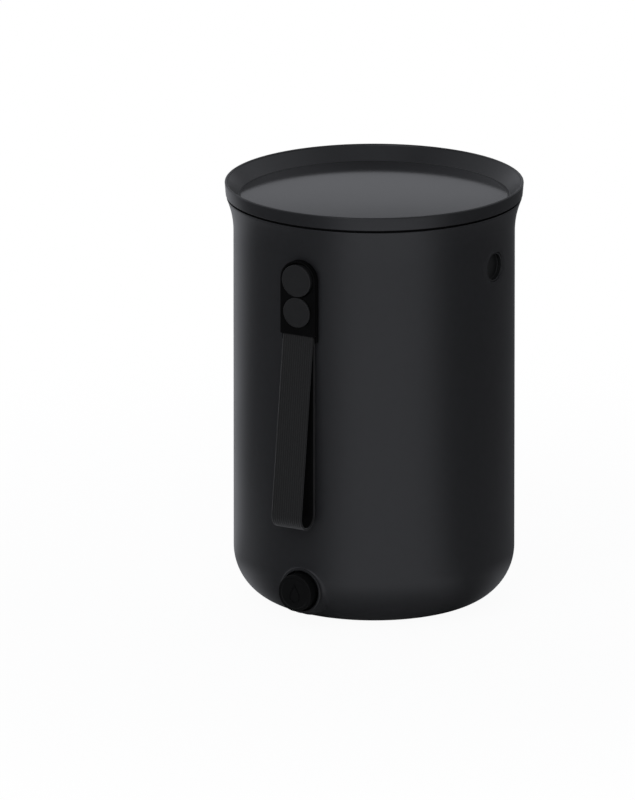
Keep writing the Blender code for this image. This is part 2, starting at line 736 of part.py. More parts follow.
def tap_fixings():
    """The gasket, washer, nut and seal rings of the tap."""
    clear = SPIGOT_RADIUS + GAP
    gasket_back = POCKET_FLOOR + GAP
    gasket_face = gasket_back + GASKET_THICKNESS
    flat_ring("tap_gasket", clear, GASKET_RADIUS, gasket_back, gasket_face, RUBBER)
    washer_face = BOSS_BACK - GAP
    washer_back = washer_face - WASHER_THICKNESS
    flat_ring("tap_washer", clear, WASHER_RADIUS, washer_back, washer_face, RUBBER)
    nut_face = washer_back - GAP
    nut_back = nut_face - NUT_THICKNESS
    corner = NUT_ACROSS_FLATS / 2 / math.cos(math.radians(30))
    nut = rod("tap_nut", corner, nut_back, nut_face, BLACK, sides=6, **TAP_PLACE)
    bore = rod("nut_bore", clear, nut_back - OVERRUN, nut_face + OVERRUN, BLACK, **TAP_PLACE)
    combine(nut, bore)
    low = BARREL_RADIUS - GROOVE_DEPTH + GAP
    high = BARREL_RADIUS + KNOB_BORE_CLEARANCE - GAP
    section = (high - low) / 2
    for name, start in zip(("rear", "front"), groove_starts()):
        centre = ((low + high) / 2, start + GROOVE_WIDTH / 2)
        circle = arc(centre, section, 360, 45, 7)
        turned(f"tap_{name}_o_ring", circle, RUBBER, steps=RING_STEPS, ring=True, **TAP_PLACE)


# Strap studs and plates


def stud(name, head_radius, head_back, head_face, neck_back, pin_back, height):
    """A stud: a bevelled head, the neck that fills a plate's hole, and the pin for its plug."""
    profile = [
        (0.0, head_face),
        (head_radius - STUD_BEVEL, head_face),
        (head_radius, head_face - STUD_BEVEL),
        (head_radius, head_back),
        (STUD_NECK_RADIUS, head_back),
        (STUD_NECK_RADIUS, neck_back),
        (STUD_PIN_RADIUS, neck_back),
        (STUD_PIN_RADIUS, pin_back),
        (0.0, pin_back),
    ]
    place = {"location": (0.0, 0.0, height), "rotation": outward(FRONT)}
    return turned(name, profile, CHARCOAL, **place)


def plug(name, back, face, height):
    """The round plug behind a stud, which fits the sockets."""
    bore = STUD_PIN_RADIUS + GAP
    profile = [
        (bore, face),
        (PLUG_RADIUS, face),
        (PLUG_RADIUS, back + PLUG_CHAMFER),
        (PLUG_RADIUS - PLUG_CHAMFER, back),
        (bore, back),
    ]
    place = {"location": (0.0, 0.0, height), "rotation": outward(FRONT)}
    return turned(name, profile, BLACK, ring=True, **place)


def circle(radius, height=0.0):
    """A closed circle on an outline's upright centreline."""
    return arc((0.0, height), radius, 0, 360, SMALL_STEPS)[:-1]


def strap_plate(name, foot, back, holes, lap_at_face):
    """A plate with an arched top, its holes and the lap that the webbing is welded into."""
    half = PLATE_WIDTH / 2
    turn = PLATE_FOOT_ROUND
    outline = arc((0.0, 0.0), half, 0, 180, SMALL_STEPS // 2)
    outline += arc((-half + turn, -foot + turn), turn, 180, 270, 3)
    outline += arc((half - turn, -foot + turn), turn, 270, 360, 3)
    place = {
        "location": (0.0, -back - PLATE_THICKNESS / 2, SOCKET_HEIGHT),
        "rotation": outward(FRONT),
    }
    plate = extruded(name, [outline, *holes], PLATE_THICKNESS, BLACK, **place)
    reach = WEBBING_WIDTH / 2 + GAP
    wall = PLATE_THICKNESS / 2 - LAP_WALL
    past = PLATE_THICKNESS / 2 + OVERRUN
    near, far = (-wall, past) if lap_at_face else (-past, wall)
    low = (-reach, -foot - OVERRUN, near)
    high = (reach, -foot + LAP_HEIGHT, far)
    combine(plate, block(name + "_lap", low, high, BLACK, **place))
    return plate


def anchor_plate():
    """The back plate, which turns on the anchor stud and holds the free stud's plug."""
    holes = [
        circle(STUD_NECK_RADIUS + RUNNING_CLEARANCE),
        circle(PLUG_RADIUS + PARKING_CLEARANCE, -STUD_PITCH),
    ]
    return strap_plate("anchor_plate", ANCHOR_PLATE_FOOT, ANCHOR_PLATE_BACK, holes, True)


def free_end_plate():
    """The front plate, which slips over the anchor stud's head and carries the free stud."""
    holes = [
        circle(ANCHOR_HEAD_RADIUS + ANCHOR_HEAD_CLEARANCE),
        circle(STUD_NECK_RADIUS + GAP, -STUD_PITCH),
    ]
    return strap_plate("free_end_plate", FREE_PLATE_FOOT, FREE_PLATE_BACK, holes, False)


# Strap webbing


def strip(centreline):
    """The outline of webbing that follows a centreline of distance against height."""
    left, right = [], []
    last = len(centreline) - 1
    for index, (out, height) in enumerate(centreline):
        before = centreline[max(index - 1, 0)]
        after = centreline[min(index + 1, last)]
        along = (after[0] - before[0], after[1] - before[1])
        reach = WEBBING_THICKNESS / 2 / math.hypot(*along)
        left.append((out - along[1] * reach, height + along[0] * reach))
        right.append((out + along[1] * reach, height - along[0] * reach))
    return left + right[::-1]


def webbing(name, centreline):
    """A stretch of the strap's webbing."""
    return extruded(name, [strip(centreline)], WEBBING_WIDTH, WEBBING, rotation=ACROSS)


BEND_CENTRE = (INNER_RUN + STRAP_BEND_RADIUS, STRAP_BEND_HEIGHT)
FREE_PLATE_BOTTOM = SOCKET_HEIGHT - FREE_PLATE_FOOT
LAP_ACROSS = BEND_CENTRE[0] - OUTER_LAP
LAP_UP = FREE_PLATE_BOTTOM - BEND_CENTRE[1]
# The outer run's lean, from the tangent between the bend and the foot of the free end's plate
LEAN = math.atan2(LAP_ACROSS, LAP_UP) + math.asin(
    STRAP_BEND_RADIUS / math.hypot(LAP_ACROSS, LAP_UP)
)
OUTWARD_AT_LEAN = (math.cos(LEAN), math.sin(LEAN))
UPWARD_AT_LEAN = (-math.sin(LEAN), math.cos(LEAN))


def from_bend(reach, climb=0.0):
    """A point out from the bend's centre and then up along the outer run."""
    return tuple(
        centre + reach * out + climb * up
        for centre, out, up in zip(BEND_CENTRE, OUTWARD_AT_LEAN, UPWARD_AT_LEAN)
    )


def strap_inner_run():
    """The run that lies along the wall."""
    top = SOCKET_HEIGHT - ANCHOR_PLATE_FOOT + LAP_HEIGHT - GAP
    return webbing("strap_inner_run", [(INNER_RUN, top), (INNER_RUN, STRAP_BEND_HEIGHT + GAP)])


def strap_bend():
    """The round turn at the bottom of the strap."""
    sweep = arc(BEND_CENTRE, STRAP_BEND_RADIUS, 180, 360 + math.degrees(LEAN), BEND_STEPS)
    return webbing("strap_bend", sweep)


def strap_outer_run():
    """The run that leans back from the bend and turns upright into the free end's plate."""
    tangent = STRAP_TURN_RADIUS * math.tan(LEAN / 2)
    turn_centre = (OUTER_LAP + STRAP_TURN_RADIUS, FREE_PLATE_BOTTOM + tangent)
    turn = arc(turn_centre, STRAP_TURN_RADIUS, 180 + math.degrees(LEAN), 180, 4)
    top = (OUTER_LAP, FREE_PLATE_BOTTOM + LAP_HEIGHT - GAP)
    return webbing("strap_outer_run", [from_bend(STRAP_BEND_RADIUS, GAP), *turn, top])


# Assembly


def build():
    """Builds every piece and hangs the moving ones on their pivots."""
    bin_body()
    for name, turn in (("front", FRONT), ("right", RIGHT), ("rear", REAR)):
        socket_cup(name + "_socket_cup", turn)
    hang(pivot("lid_lift", (0.0, 0.0, BODY_HEIGHT)), lid(), lid_seal())
    legs = [strainer_leg(f"strainer_{name}_leg", turn) for name, turn in LEG_TURNS.items()]
    hang(pivot("strainer_lift", (0.0, 0.0, STRAINER_HEIGHT)), strainer_plate(), *legs)
    tap_body()
    tap_fixings()
    tap_knob()
    stud(
        "anchor_stud",
        ANCHOR_HEAD_RADIUS,
        FREE_PLATE_BACK,
        FREE_PLATE_FACE + ANCHOR_HEAD_STAND,
        ANCHOR_PLATE_BACK,
        SOCKET_FLOOR + GAP + PLUG_CHAMFER,
        SOCKET_HEIGHT,
    )
    plug("anchor_plug", SOCKET_FLOOR + GAP, BODY_RADIUS, SOCKET_HEIGHT)
    swing = pivot("strap_swing", (0.0, -BODY_RADIUS, SOCKET_HEIGHT))
    hang(swing, anchor_plate(), strap_inner_run(), strap_bend())
    free_back = BODY_RADIUS + PLUG_STANDOFF
    free_head = FREE_PLATE_FACE + GAP
    free_stud = stud(
        "free_stud",
        FREE_HEAD_RADIUS,
        free_head,
        free_head + FREE_HEAD_THICKNESS,
        FREE_PLATE_BACK,
        free_back + GAP,
        FREE_STUD_HEIGHT,
    )
    free_plug = plug("free_plug", free_back, FREE_PLATE_BACK - GAP, FREE_STUD_HEIGHT)
    hinge = from_bend(STRAP_BEND_RADIUS + WEBBING_THICKNESS / 2)
    opening = pivot("strap_open", (0.0, -hinge[0], hinge[1]))
    hang(opening, free_end_plate(), free_stud, free_plug, strap_outer_run())


build()
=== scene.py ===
"""Kitchen bokashi bin: its visible pieces, finishes, studio and camera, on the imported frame.

The frame's axes are the part's own: metres, +Z up along the bin's axis, and the strap and the tap
face -Y. Sizes of pieces are millimetres, and those of the studio and the camera are metres. A piece
that faces outwards is modelled along local Z, which then points away from the bin's axis, so that
its second coordinate is a distance from the axis.
"""

import logging
import math
from collections.abc import Callable, Iterator, Sequence
from contextlib import contextmanager
from dataclasses import dataclass, field
from enum import Enum
from itertools import pairwise
from typing import Protocol

import bmesh
import bpy
from mathutils import Matrix, Vector

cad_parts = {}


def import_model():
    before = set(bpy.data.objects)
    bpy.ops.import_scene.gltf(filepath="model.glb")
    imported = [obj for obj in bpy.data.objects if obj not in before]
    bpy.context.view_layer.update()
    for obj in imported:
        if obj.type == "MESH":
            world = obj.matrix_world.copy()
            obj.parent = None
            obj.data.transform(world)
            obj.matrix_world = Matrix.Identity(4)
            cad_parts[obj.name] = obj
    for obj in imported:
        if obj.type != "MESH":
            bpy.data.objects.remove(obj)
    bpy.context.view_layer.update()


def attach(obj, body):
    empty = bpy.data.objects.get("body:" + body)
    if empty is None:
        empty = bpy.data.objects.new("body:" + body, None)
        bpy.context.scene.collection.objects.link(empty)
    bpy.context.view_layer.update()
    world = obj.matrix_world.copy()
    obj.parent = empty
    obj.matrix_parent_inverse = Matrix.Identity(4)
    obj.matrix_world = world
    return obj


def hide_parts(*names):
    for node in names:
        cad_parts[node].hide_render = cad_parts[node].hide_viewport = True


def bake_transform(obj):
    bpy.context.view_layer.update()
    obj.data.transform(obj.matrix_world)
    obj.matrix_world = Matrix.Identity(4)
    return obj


LOG = logging.getLogger("bokashi_bin")

MM = 0.001
WELD = 1e-6

# Sizes in millimetres that several pieces share
SOCKET_HEIGHT = 289.2
TAP_HEIGHT = 31.0
WEBBING_WIDTH = 28.0
GAP = 0.3
OVERRUN = 2.0
HAIR = 0.05

# Rounds of moulded edges in millimetres
CRISP = 0.2
FINE = 0.3
EASY = 0.4
SOFT = 0.5
FULL = 0.6

# How a round is drawn: its reach along a short side, the degrees to a face, the guard points
# beyond its ends, and the middle of a round that has only three points
BEND_SHARE = 0.45
BEND_STEP = 18.0
GUARD_SHARE = 0.08
MIDDLE_SHARE = 0.3

Colour = tuple[float, float, float]
Point = tuple[float, float]
Corner = tuple[float, ...]
Ring = Callable[[float], Point]
Piece = bpy.types.Object
Node = bpy.types.Node
Socket = bpy.types.NodeSocket
Vert = bmesh.types.BMVert
Edge = bmesh.types.BMEdge


def direction(azimuth: float, elevation: float = 0.0) -> Vector:
    """A direction in degrees from the front towards +X, and in degrees above level."""
    turn, lift = math.radians(azimuth), math.radians(elevation)
    level = math.cos(lift)
    return Vector((math.sin(turn) * level, -math.cos(turn) * level, math.sin(lift)))


def polar(reach: float, turn: float) -> Point:
    """The point at a distance and a turn from the middle."""
    return reach * math.cos(turn), reach * math.sin(turn)


class Facing(Enum):
    """Where a piece on the wall faces, in degrees from the front towards +X."""

    FRONT = 0
    RIGHT = 90
    REAR = 180
    LEFT = 270

    @property
    def out(self) -> Vector:
        """The direction away from the bin's axis."""
        return direction(self.value)

    @property
    def across(self) -> Vector:
        """The level direction along the wall, to the right as the piece is seen from outside."""
        return Vector((-self.out.y, self.out.x, 0.0))


SOCKET_SIDES = (Facing.FRONT, Facing.RIGHT, Facing.REAR)


class Element(Enum):
    """What is picked in edit mode: the select mode's name, with the mesh's own word for it."""

    VERT = "verts"
    EDGE = "edges"
    FACE = "faces"


class Body(Enum):
    """The moving bodies of the frame."""

    BIN = "bin"
    LID = "lid_unit"
    STRAINER = "strainer"
    KNOB = "knob"
    STRAP = "strap"
    FREE_END = "strap_free_end"


class Slot(Enum):
    """The record's material slots."""

    SHELL = "anthracite_shell"
    LID = "anthracite_lid"
    SEAL = "seal"
    FITTING = "black_fitting"
    KNOB = "tap_knob"
    RUBBER = "tap_rubber"
    STUD = "charcoal_stud"
    PLATE = "strap_plate"
    WEBBING = "webbing"
    STRAINER = "strainer"


# Modelling by hand


def focus(obj: Piece) -> None:
    """Selects one object alone.

    Args:
        obj: The object that the next operators act on.
    """
    bpy.ops.object.select_all(action="DESELECT")
    obj.select_set(True)
    bpy.context.view_layer.objects.active = obj


@contextmanager
def editing(obj: Piece, element: Element = Element.VERT) -> Iterator[None]:
    """Opens an object in edit mode and leaves it in object mode again.

    Args:
        obj: The object to edit.
        element: What operators pick.
    """
    focus(obj)
    bpy.ops.object.mode_set(mode="EDIT")
    bpy.ops.mesh.select_mode(type=element.name)
    yield
    bpy.ops.object.mode_set(mode="OBJECT")


def pick(obj: Piece, wanted: Callable[..., bool], element: Element = Element.VERT) -> None:
    """Selects what passes a test, and with vertices the edges and faces between them.

    Args:
        obj: The object, which is open in edit mode.
        wanted: The test.
        element: What is tested.
    """
    bpy.ops.mesh.select_all(action="DESELECT")
    mesh = bmesh.from_edit_mesh(obj.data)
    for item in getattr(mesh, element.value):
        if wanted(item):
            item.select_set(True)
    if element is Element.VERT:
        mesh.select_flush(True)
    bmesh.update_edit_mesh(obj.data)


def tidy(obj: Piece) -> None:
    """Merges doubled vertices and turns every face outwards."""
    with editing(obj):
        bpy.ops.mesh.select_all(action="SELECT")
        bpy.ops.mesh.remove_doubles(threshold=WELD)
        bpy.ops.mesh.normals_make_consistent(inside=False)


def softened(corners: Sequence[Corner]) -> list[Point]:
    """Rounds the corners of an outline.

    Args:
        corners: Points as (out, up), or as (out, up, radius) where the corner is rounded.

    Returns:
        The outline's points, in millimetres.
    """
    outline: list[Point] = []
    last = len(corners) - 1
    for index, corner in enumerate(corners):
        here = Vector(corner[:2])
        if len(corner) < 3 or index in (0, last):
            outline.append(tuple(here))
            continue
        back = Vector(corners[index - 1][:2]) - here
        on = Vector(corners[index + 1][:2]) - here
        gloss_shadow_ramp = back.angle(on)
        reach = corner[2] / math.tan(gloss_shadow_ramp / 2)
        reach = min(reach, BEND_SHARE * back.length, BEND_SHARE * on.length)
        steps = max(2, math.ceil(math.degrees(math.pi - gloss_shadow_ramp) / BEND_STEP))
        start, end = here + back.normalized() * reach, here + on.normalized() * reach
        bend = []
        for step in range(steps + 1):
            share = step / steps
            bend.append(tuple(start.lerp(here, share).lerp(here.lerp(end, share), share)))
        # A point just before and after the bend keeps the shading of the flat faces flat
        guard = 1 + GUARD_SHARE
        before, after = here + (start - here) * guard, here + (end - here) * guard
        outline += [tuple(before), *bend, tuple(after)]
    return outline


def ring_section(
    bore: float, radius: float, back: float, face: float, back_round: float = FINE
) -> list[Corner]:
    """The section of a flat ring, which starts and ends at a seam in the middle of its face.

    Args:
        bore: The ring's inner radius.
        radius: Its outer radius.
        back: Distance of its back from the axis.
        face: Distance of its face from the axis.
        back_round: The round at the outer edge of its back.

    Returns:
        The section's corners.
    """
    middle = (bore + radius) / 2
    return [
        (middle, face),
        (radius, face, FINE),
        (radius, back, back_round),
        (bore, back, CRISP),
        (bore, face, CRISP),
        (middle - HAIR, face),
    ]


def added(name: str, operator: Callable[..., object], **settings: object) -> Piece:
    """Adds an object, with nothing else selected, and names it.

    Args:
        name: The object's name.
        operator: The operator that adds it.
        **settings: The operator's settings.

    Returns:
        The new object.
    """
    bpy.ops.object.select_all(action="DESELECT")
    operator(**settings)
    obj = bpy.context.active_object
    obj.name = obj.data.name = name
    return obj


def settle(
    obj: Piece, place: Sequence[float] = (0.0, 0.0, 0.0), turn: Sequence[float] = (0.0, 0.0, 0.0)
) -> Piece:
    """Places and turns an object, and puts that and its scale into its mesh.

    Args:
        obj: The object.
        place: Where its origin goes, in millimetres.
        turn: Its turns about X, Y and Z, in degrees.

    Returns:
        The same object.
    """
    obj.location = [length * MM for length in place]
    obj.rotation_euler = [math.radians(angle) for angle in turn]
    focus(obj)
    bpy.ops.object.transform_apply(location=True, rotation=True, scale=True)
    return obj


def wire(name: str, outline: Sequence[Point], closed: bool = False) -> Piece:
    """Draws an outline by extruding one vertex from point to point, in the XZ plane.

    Args:
        name: The object's name.
        outline: Points as (out, up), in millimetres.
        closed: Whether the last point is joined to the first.

    Returns:
        The wire as an object.
    """
    obj = added(name, bpy.ops.mesh.primitive_plane_add, size=MM)
    points = [Vector((out, 0.0, up)) * MM for out, up in outline]
    with editing(obj):
        bpy.ops.mesh.merge(type="CENTER")
        bpy.ops.transform.translate(value=points[0])
        for here, there in pairwise(points):
            bpy.ops.mesh.extrude_vertices_move(TRANSFORM_OT_translate={"value": there - here})
        if closed:
            ends = [points[0], points[-1]]
            pick(obj, lambda vert: any((vert.co - end).length < WELD for end in ends))
            bpy.ops.mesh.edge_face_add()
    return obj


def turned(name: str, corners: Sequence[Corner], steps: int = 96, closed: bool = False) -> Piece:
    """Rounds the corners of an outline and spins it about Z into a solid.

    Args:
        name: The object's name.
        corners: The outline, as (out, up) or (out, up, radius) in millimetres.
        steps: How many faces go round.
        closed: Whether the outline is a ring's section.

    Returns:
        The solid as an object.
    """
    obj = wire(name, softened(corners), closed)
    with editing(obj):
        bpy.ops.mesh.select_all(action="SELECT")
        bpy.ops.mesh.spin(steps=steps, angle=math.tau, center=(0, 0, 0), axis=(0, 0, 1))
    tidy(obj)
    return obj


def face_out(obj: Piece, height: float, facing: Facing = Facing.FRONT) -> Piece:
    """Turns a piece that was modelled along Z so that Z points away from the bin's axis."""
    return settle(obj, (0.0, 0.0, height), (90.0, 0.0, facing.value))


def rod(name: str, radius: float, low: float, high: float, sides: int = 64) -> Piece:
    """A plain round bar along Z, used as a cutter.

    Args:
        name: The object's name.
        radius: Its radius in millimetres.
        low: Where it starts.
        high: Where it ends.
        sides: How many faces go round.

    Returns:
        The bar as an object.
    """
    add = bpy.ops.mesh.primitive_cylinder_add
    obj = added(name, add, vertices=sides, radius=radius * MM, depth=(high - low) * MM)
    return settle(obj, (0.0, 0.0, (low + high) / 2))


def block(name: str, low: Sequence[float], high: Sequence[float]) -> Piece:
    """A box between two corners.

    Args:
        name: The object's name.
        low: Its lowest corner, in millimetres.
        high: Its highest corner, in millimetres.

    Returns:
        The box as an object.
    """
    obj = added(name, bpy.ops.mesh.primitive_cube_add, size=1.0)
    obj.scale = [(b - a) * MM for a, b in zip(low, high)]
    return settle(obj, [(a + b) / 2 for a, b in zip(low, high)])


def apply(obj: Piece, kind: str, **settings: object) -> None:
    """Adds a modifier with these settings and applies it.

    Args:
        obj: The object to change.
        kind: Blender's name for the modifier.
        **settings: The modifier's settings.
    """
    modifier = obj.modifiers.new(kind.title(), kind)
    for name, value in settings.items():
        setattr(modifier, name, value)
    focus(obj)
    bpy.ops.object.modifier_apply(modifier=modifier.name)


def cut(obj: Piece, cutter: Piece, operation: str = "DIFFERENCE") -> None:
    """Cuts one solid by another and removes the cutter."""
    apply(obj, "BOOLEAN", operation=operation, solver="EXACT", object=cutter)
    bpy.data.objects.remove(cutter)


def joined(name: str, pieces: Sequence[Piece]) -> Piece:
    """Joins several objects into one.

    Args:
        name: The joined object's name.
        pieces: The objects.

    Returns:
        The joined object.
    """
    focus(pieces[0])
    for piece in pieces[1:]:
        piece.select_set(True)
    bpy.ops.object.join()
    pieces[0].name = pieces[0].data.name = name
    return pieces[0]


def copied(obj: Piece, name: str) -> Piece:
    """Copies an object together with its mesh.

    Args:
        obj: The object to copy.
        name: The copy's name.

    Returns:
        The copy.
    """
    twin = obj.copy()
    twin.data = obj.data.copy()
    twin.name = twin.data.name = name
    bpy.context.scene.collection.objects.link(twin)
    return twin


def shade(obj: Piece, angle: float = 32.0) -> None:
    """Shades a piece smooth except where its faces meet at more than this angle."""
    focus(obj)
    bpy.ops.object.shade_smooth_by_angle(angle=math.radians(angle))


# Finishes


@dataclass(frozen=True)
class Nodes:
    """A node tree that is drawn node by node.

    Attributes:
        tree: The tree.
    """

    tree: bpy.types.NodeTree

    def feed(self, node: Node, inputs: dict[str | int, object]) -> Node:
        """Sets a node's inputs, or links them where a socket is given.

        Args:
            node: The node.
            inputs: Values and sockets, by the inputs' names or numbers.

        Returns:
            The same node.
        """
        for name, value in inputs.items():
            if isinstance(value, Socket):
                self.tree.links.new(value, node.inputs[name])
            else:
                node.inputs[name].default_value = value
        return node

    def add(
        self, kind: str, inputs: dict[str | int, object] | None = None, **settings: object
    ) -> Node:
        """Adds a node.

        Args:
            kind: Blender's name for it, without the first words that all of them share.
            inputs: Values and sockets, by the inputs' names or numbers, if it has any.
            **settings: Its other settings.

        Returns:
            The node.
        """
        node = self.tree.nodes.new(f"ShaderNode{kind}")
        for name, value in settings.items():
            setattr(node, name, value)
        return self.feed(node, inputs or {})

    def maths(self, operation: str, first: Socket, second: Socket | float = 0.0) -> Socket:
        """The result of a sum with one or two values, by Blender's name for the sum."""
        return self.add("Math", {0: first, 1: second}, operation=operation).outputs[0]

    def noise(self, place: Socket, scale: float, detail: float) -> Socket:
        """The value of a noise pattern, with its cells to a metre and its octaves."""
        inputs = {"Vector": place, "Scale": scale, "Detail": detail}
        return self.add("TexNoise", inputs).outputs["Fac"]

    def ramp(self, value: Socket, start: Point, end: Point, kind: str = "SMOOTHSTEP") -> Socket:
        """The change of a value between two points, each given as what comes in and what goes out.

        Args:
            value: What comes in.
            start: Where the change starts.
            end: Where it ends.
            kind: Blender's name for the way between them.

        Returns:
            What goes out.
        """
        inputs = {"Value": value, "From Min": start[0], "To Min": start[1]}
        inputs |= {"From Max": end[0], "To Max": end[1]}
        return self.add("MapRange", inputs, interpolation_type=kind).outputs["Result"]

    def blended(self, share: Socket, first: Sequence[float], second: Sequence[float]) -> Socket:
        """The mix of two colours, with the second's share."""
        inputs = {"Factor": share, "A": (*first, 1.0), "B": (*second, 1.0)}
        return self.add("Mix", inputs, data_type="RGBA").outputs["Result"]

    def bump(self, height: Socket, depth: float) -> Socket:
        """The normal of a relief with a depth in millimetres."""
        inputs = {"Height": height, "Strength": 1.0, "Distance": depth * MM}
        return self.add("Bump", inputs).outputs["Normal"]


def new_material(name: str, colour: Colour) -> tuple[bpy.types.Material, Nodes, Node]:
    """Starts a node material.

    Args:
        name: Its name.
        colour: Its plain colour, linear.

    Returns:
        The material, its nodes and its Principled shader.
    """
    made = bpy.data.materials.new(name)
    made.use_nodes = True
    made.diffuse_color = (*colour, 1.0)
    return made, Nodes(made.node_tree), made.node_tree.nodes["Principled BSDF"]


@dataclass(frozen=True)
class MouldedFinish:
    """A moulded plastic or rubber: fine grain, a slow change of gloss and a slight mottle.

    Attributes:
        name: The material's name.
        colour: Its colour, linear.
        roughness: Its middle roughness.
        gloss_spread: How far the roughness drifts to each side.
        grain: Width of the moulded grain in millimetres.
        relief: Depth of that grain in millimetres.
        mottle: How far the colour drifts to each side, as a share.
        specular: Specular level.
        drift_noise: Cells to a metre and octaves of the change of gloss.
        mottle_noise: The same of the mottle.
        grain_octaves: Octaves of the grain.
    """

    name: str
    colour: Colour
    roughness: float
    gloss_spread: float = 0.03
    grain: float = 0.35
    relief: float = 0.01
    mottle: float = 0.12
    specular: float = 0.5
    drift_noise: Point = (24.0, 2.0)
    mottle_noise: Point = (160.0, 6.0)
    grain_octaves: float = 3.0

    def material(self) -> bpy.types.Material:
        """Builds the finish as a node material, or finds it where it is built already."""
        made = bpy.data.materials.get(self.name)
        if made is not None:
            return made
        made, nodes, shader = new_material(self.name, self.colour)
        place = nodes.add("TexCoord").outputs["Object"]
        drift = nodes.noise(place, *self.drift_noise)
        low, high = self.roughness - self.gloss_spread, self.roughness + self.gloss_spread
        dark = [level * (1 - self.mottle) for level in self.colour]
        light = [level * (1 + self.mottle) for level in self.colour]
        flecks = nodes.noise(place, *self.mottle_noise)
        grain = nodes.noise(place, 1 / (self.grain * MM), self.grain_octaves)
        inputs = {
            "Specular IOR Level": self.specular,
            "Roughness": nodes.ramp(drift, (0.0, low), (1.0, high), "LINEAR"),
            "Base Color": nodes.blended(flecks, dark, light),
            "Normal": nodes.bump(grain, self.relief),
        }
        nodes.feed(shader, inputs)
        return made


@dataclass(frozen=True)
class WebbingFinish:
    """Flat woven webbing, drawn on the strip's own UV map.

    Attributes:
        name: The material's name.
        ribs: How many ribs lie side by side across the strip.
        picks: How many cross threads there are along a piece.
        thread: Colour of the threads, linear.
        valley_shade: Colour between the threads, darkened there as painted shade, linear.
        roughness: Roughness of the threads.
        specular: Specular level.
        sheen: Weight of the fibres' sheen.
        sheen_roughness: Roughness of that sheen.
        climb: Twice the rise of the threads over one flank of a rib, in threads.
        crown: Power that rounds each thread; the lower, the flatter.
        flank: Power that rounds each rib.
        fibre_noise: Cells to a strip and octaves of the fibres.
        fibre_share: Their share of the relief.
        relief: Depth of the weave in millimetres.
    """

    name: str
    ribs: int
    picks: int
    thread: Colour = (0.0112, 0.011, 0.0105)
    valley_shade: Colour = (0.0035, 0.0035, 0.0034)
    roughness: float = 0.78
    specular: float = 0.3
    sheen: float = 0.18
    sheen_roughness: float = 0.45
    climb: float = 1.3
    crown: float = 0.6
    flank: float = 0.5
    fibre_noise: Point = (420.0, 4.0)
    fibre_share: float = 0.25
    relief: float = 0.16

    def material(self) -> bpy.types.Material:
        """Builds the weave as a node material."""
        made, nodes, shader = new_material(self.name, self.thread)
        place = nodes.add("UVMap").outputs["UV"]
        split = nodes.add("SeparateXYZ", {0: place}).outputs
        rib = nodes.maths("FRACT", nodes.maths("MULTIPLY", split["X"], self.ribs))
        side = nodes.maths("PINGPONG", rib, 0.5)
        # The threads run down one flank of a rib and up the other, so that they meet in a V
        row = nodes.maths("MULTIPLY", split["Y"], self.picks)
        thread = nodes.maths("ADD", row, nodes.maths("MULTIPLY", side, self.climb))
        thread = nodes.maths("PINGPONG", thread, 0.5)
        crown = nodes.maths("POWER", nodes.maths("MULTIPLY", thread, 2.0), self.crown)
        flank = nodes.maths("POWER", nodes.maths("MULTIPLY", side, 2.0), self.flank)
        weave = nodes.maths("MULTIPLY", crown, flank)
        fibre = nodes.maths("MULTIPLY", nodes.noise(place, *self.fibre_noise), self.fibre_share)
        inputs = {
            "Roughness": self.roughness,
            "Specular IOR Level": self.specular,
            "Sheen Weight": self.sheen,
            "Sheen Roughness": self.sheen_roughness,
            # The colour darkens from the threads' crowns into the hollows between them, as painted
            # shade.
            "Base Color": nodes.blended(weave, self.valley_shade, self.thread),
            "Normal": nodes.bump(nodes.maths("ADD", weave, fibre), self.relief),
        }
        nodes.feed(shader, inputs)
        return made


def grey(level: float) -> Colour:
    """A linear colour without a tint."""
    return level, level, level


ANTHRACITE = (0.0105, 0.0106, 0.0113)
SHELL_FINISH = MouldedFinish("anthracite satin", ANTHRACITE, 0.34, grain=0.5, relief=0.006)
# The dish's floor: its low roughness is a real polish; its colour, twice the lid's, is painted
# light on the upward face.
POLISHED_LIT_DISH_FINISH = MouldedFinish(
    "anthracite polished", (0.022, 0.022, 0.023), 0.12, gloss_spread=0.015, grain=8.0, relief=0.004
)
LID_FINISH = MouldedFinish("anthracite lid", ANTHRACITE, 0.32, grain=0.5, relief=0.006)
# A dark silicone, painted darker still as the shade in the gap under the lid's band.
SEAL_GAP_SHADE_FINISH = MouldedFinish("dark silicone", grey(0.003), 0.6, specular=0.15)
FITTING_FINISH = MouldedFinish("black fitting", (0.0045, 0.0047, 0.0045), 0.45, grain=0.3)
KNOB_FINISH = MouldedFinish("black knob", grey(0.003), 0.42, grain=0.3, specular=0.15)
RUBBER_FINISH = MouldedFinish("black rubber", grey(0.006), 0.7, grain=0.2, relief=0.02)
STUD_FINISH = MouldedFinish("charcoal stud", grey(0.0112), 0.5, grain=0.3, specular=0.25)
PLATE_FINISH = MouldedFinish("black plate", grey(0.001), 0.5, grain=0.3, specular=0.12)
# Painted shade: a near-black colour on the webbing's inner face, where the loop's runs shade each
# other.
LOOP_SHADE_FINISH = MouldedFinish("black lining", grey(0.0016), 0.7, grain=0.4, specular=0.1)
STRAINER_FINISH = MouldedFinish("grey strainer", (0.075, 0.075, 0.08), 0.45, grain=0.5, relief=0.02)
Finish = MouldedFinish | WebbingFinish


def two_tone(obj: Piece, finish: Finish, other: Finish, wanted: Callable[[Vert], bool]) -> None:
    """Gives a piece one finish, and another where its vertices pass a test.

    Args:
        obj: The piece.
        finish: Its finish.
        other: The finish of the faces between the picked vertices.
        wanted: The test.
    """
    for look in (finish, other):
        obj.data.materials.append(look.material())
    with editing(obj, Element.FACE):
        pick(obj, wanted)
        obj.active_material_index = 1
        bpy.ops.object.material_slot_assign()


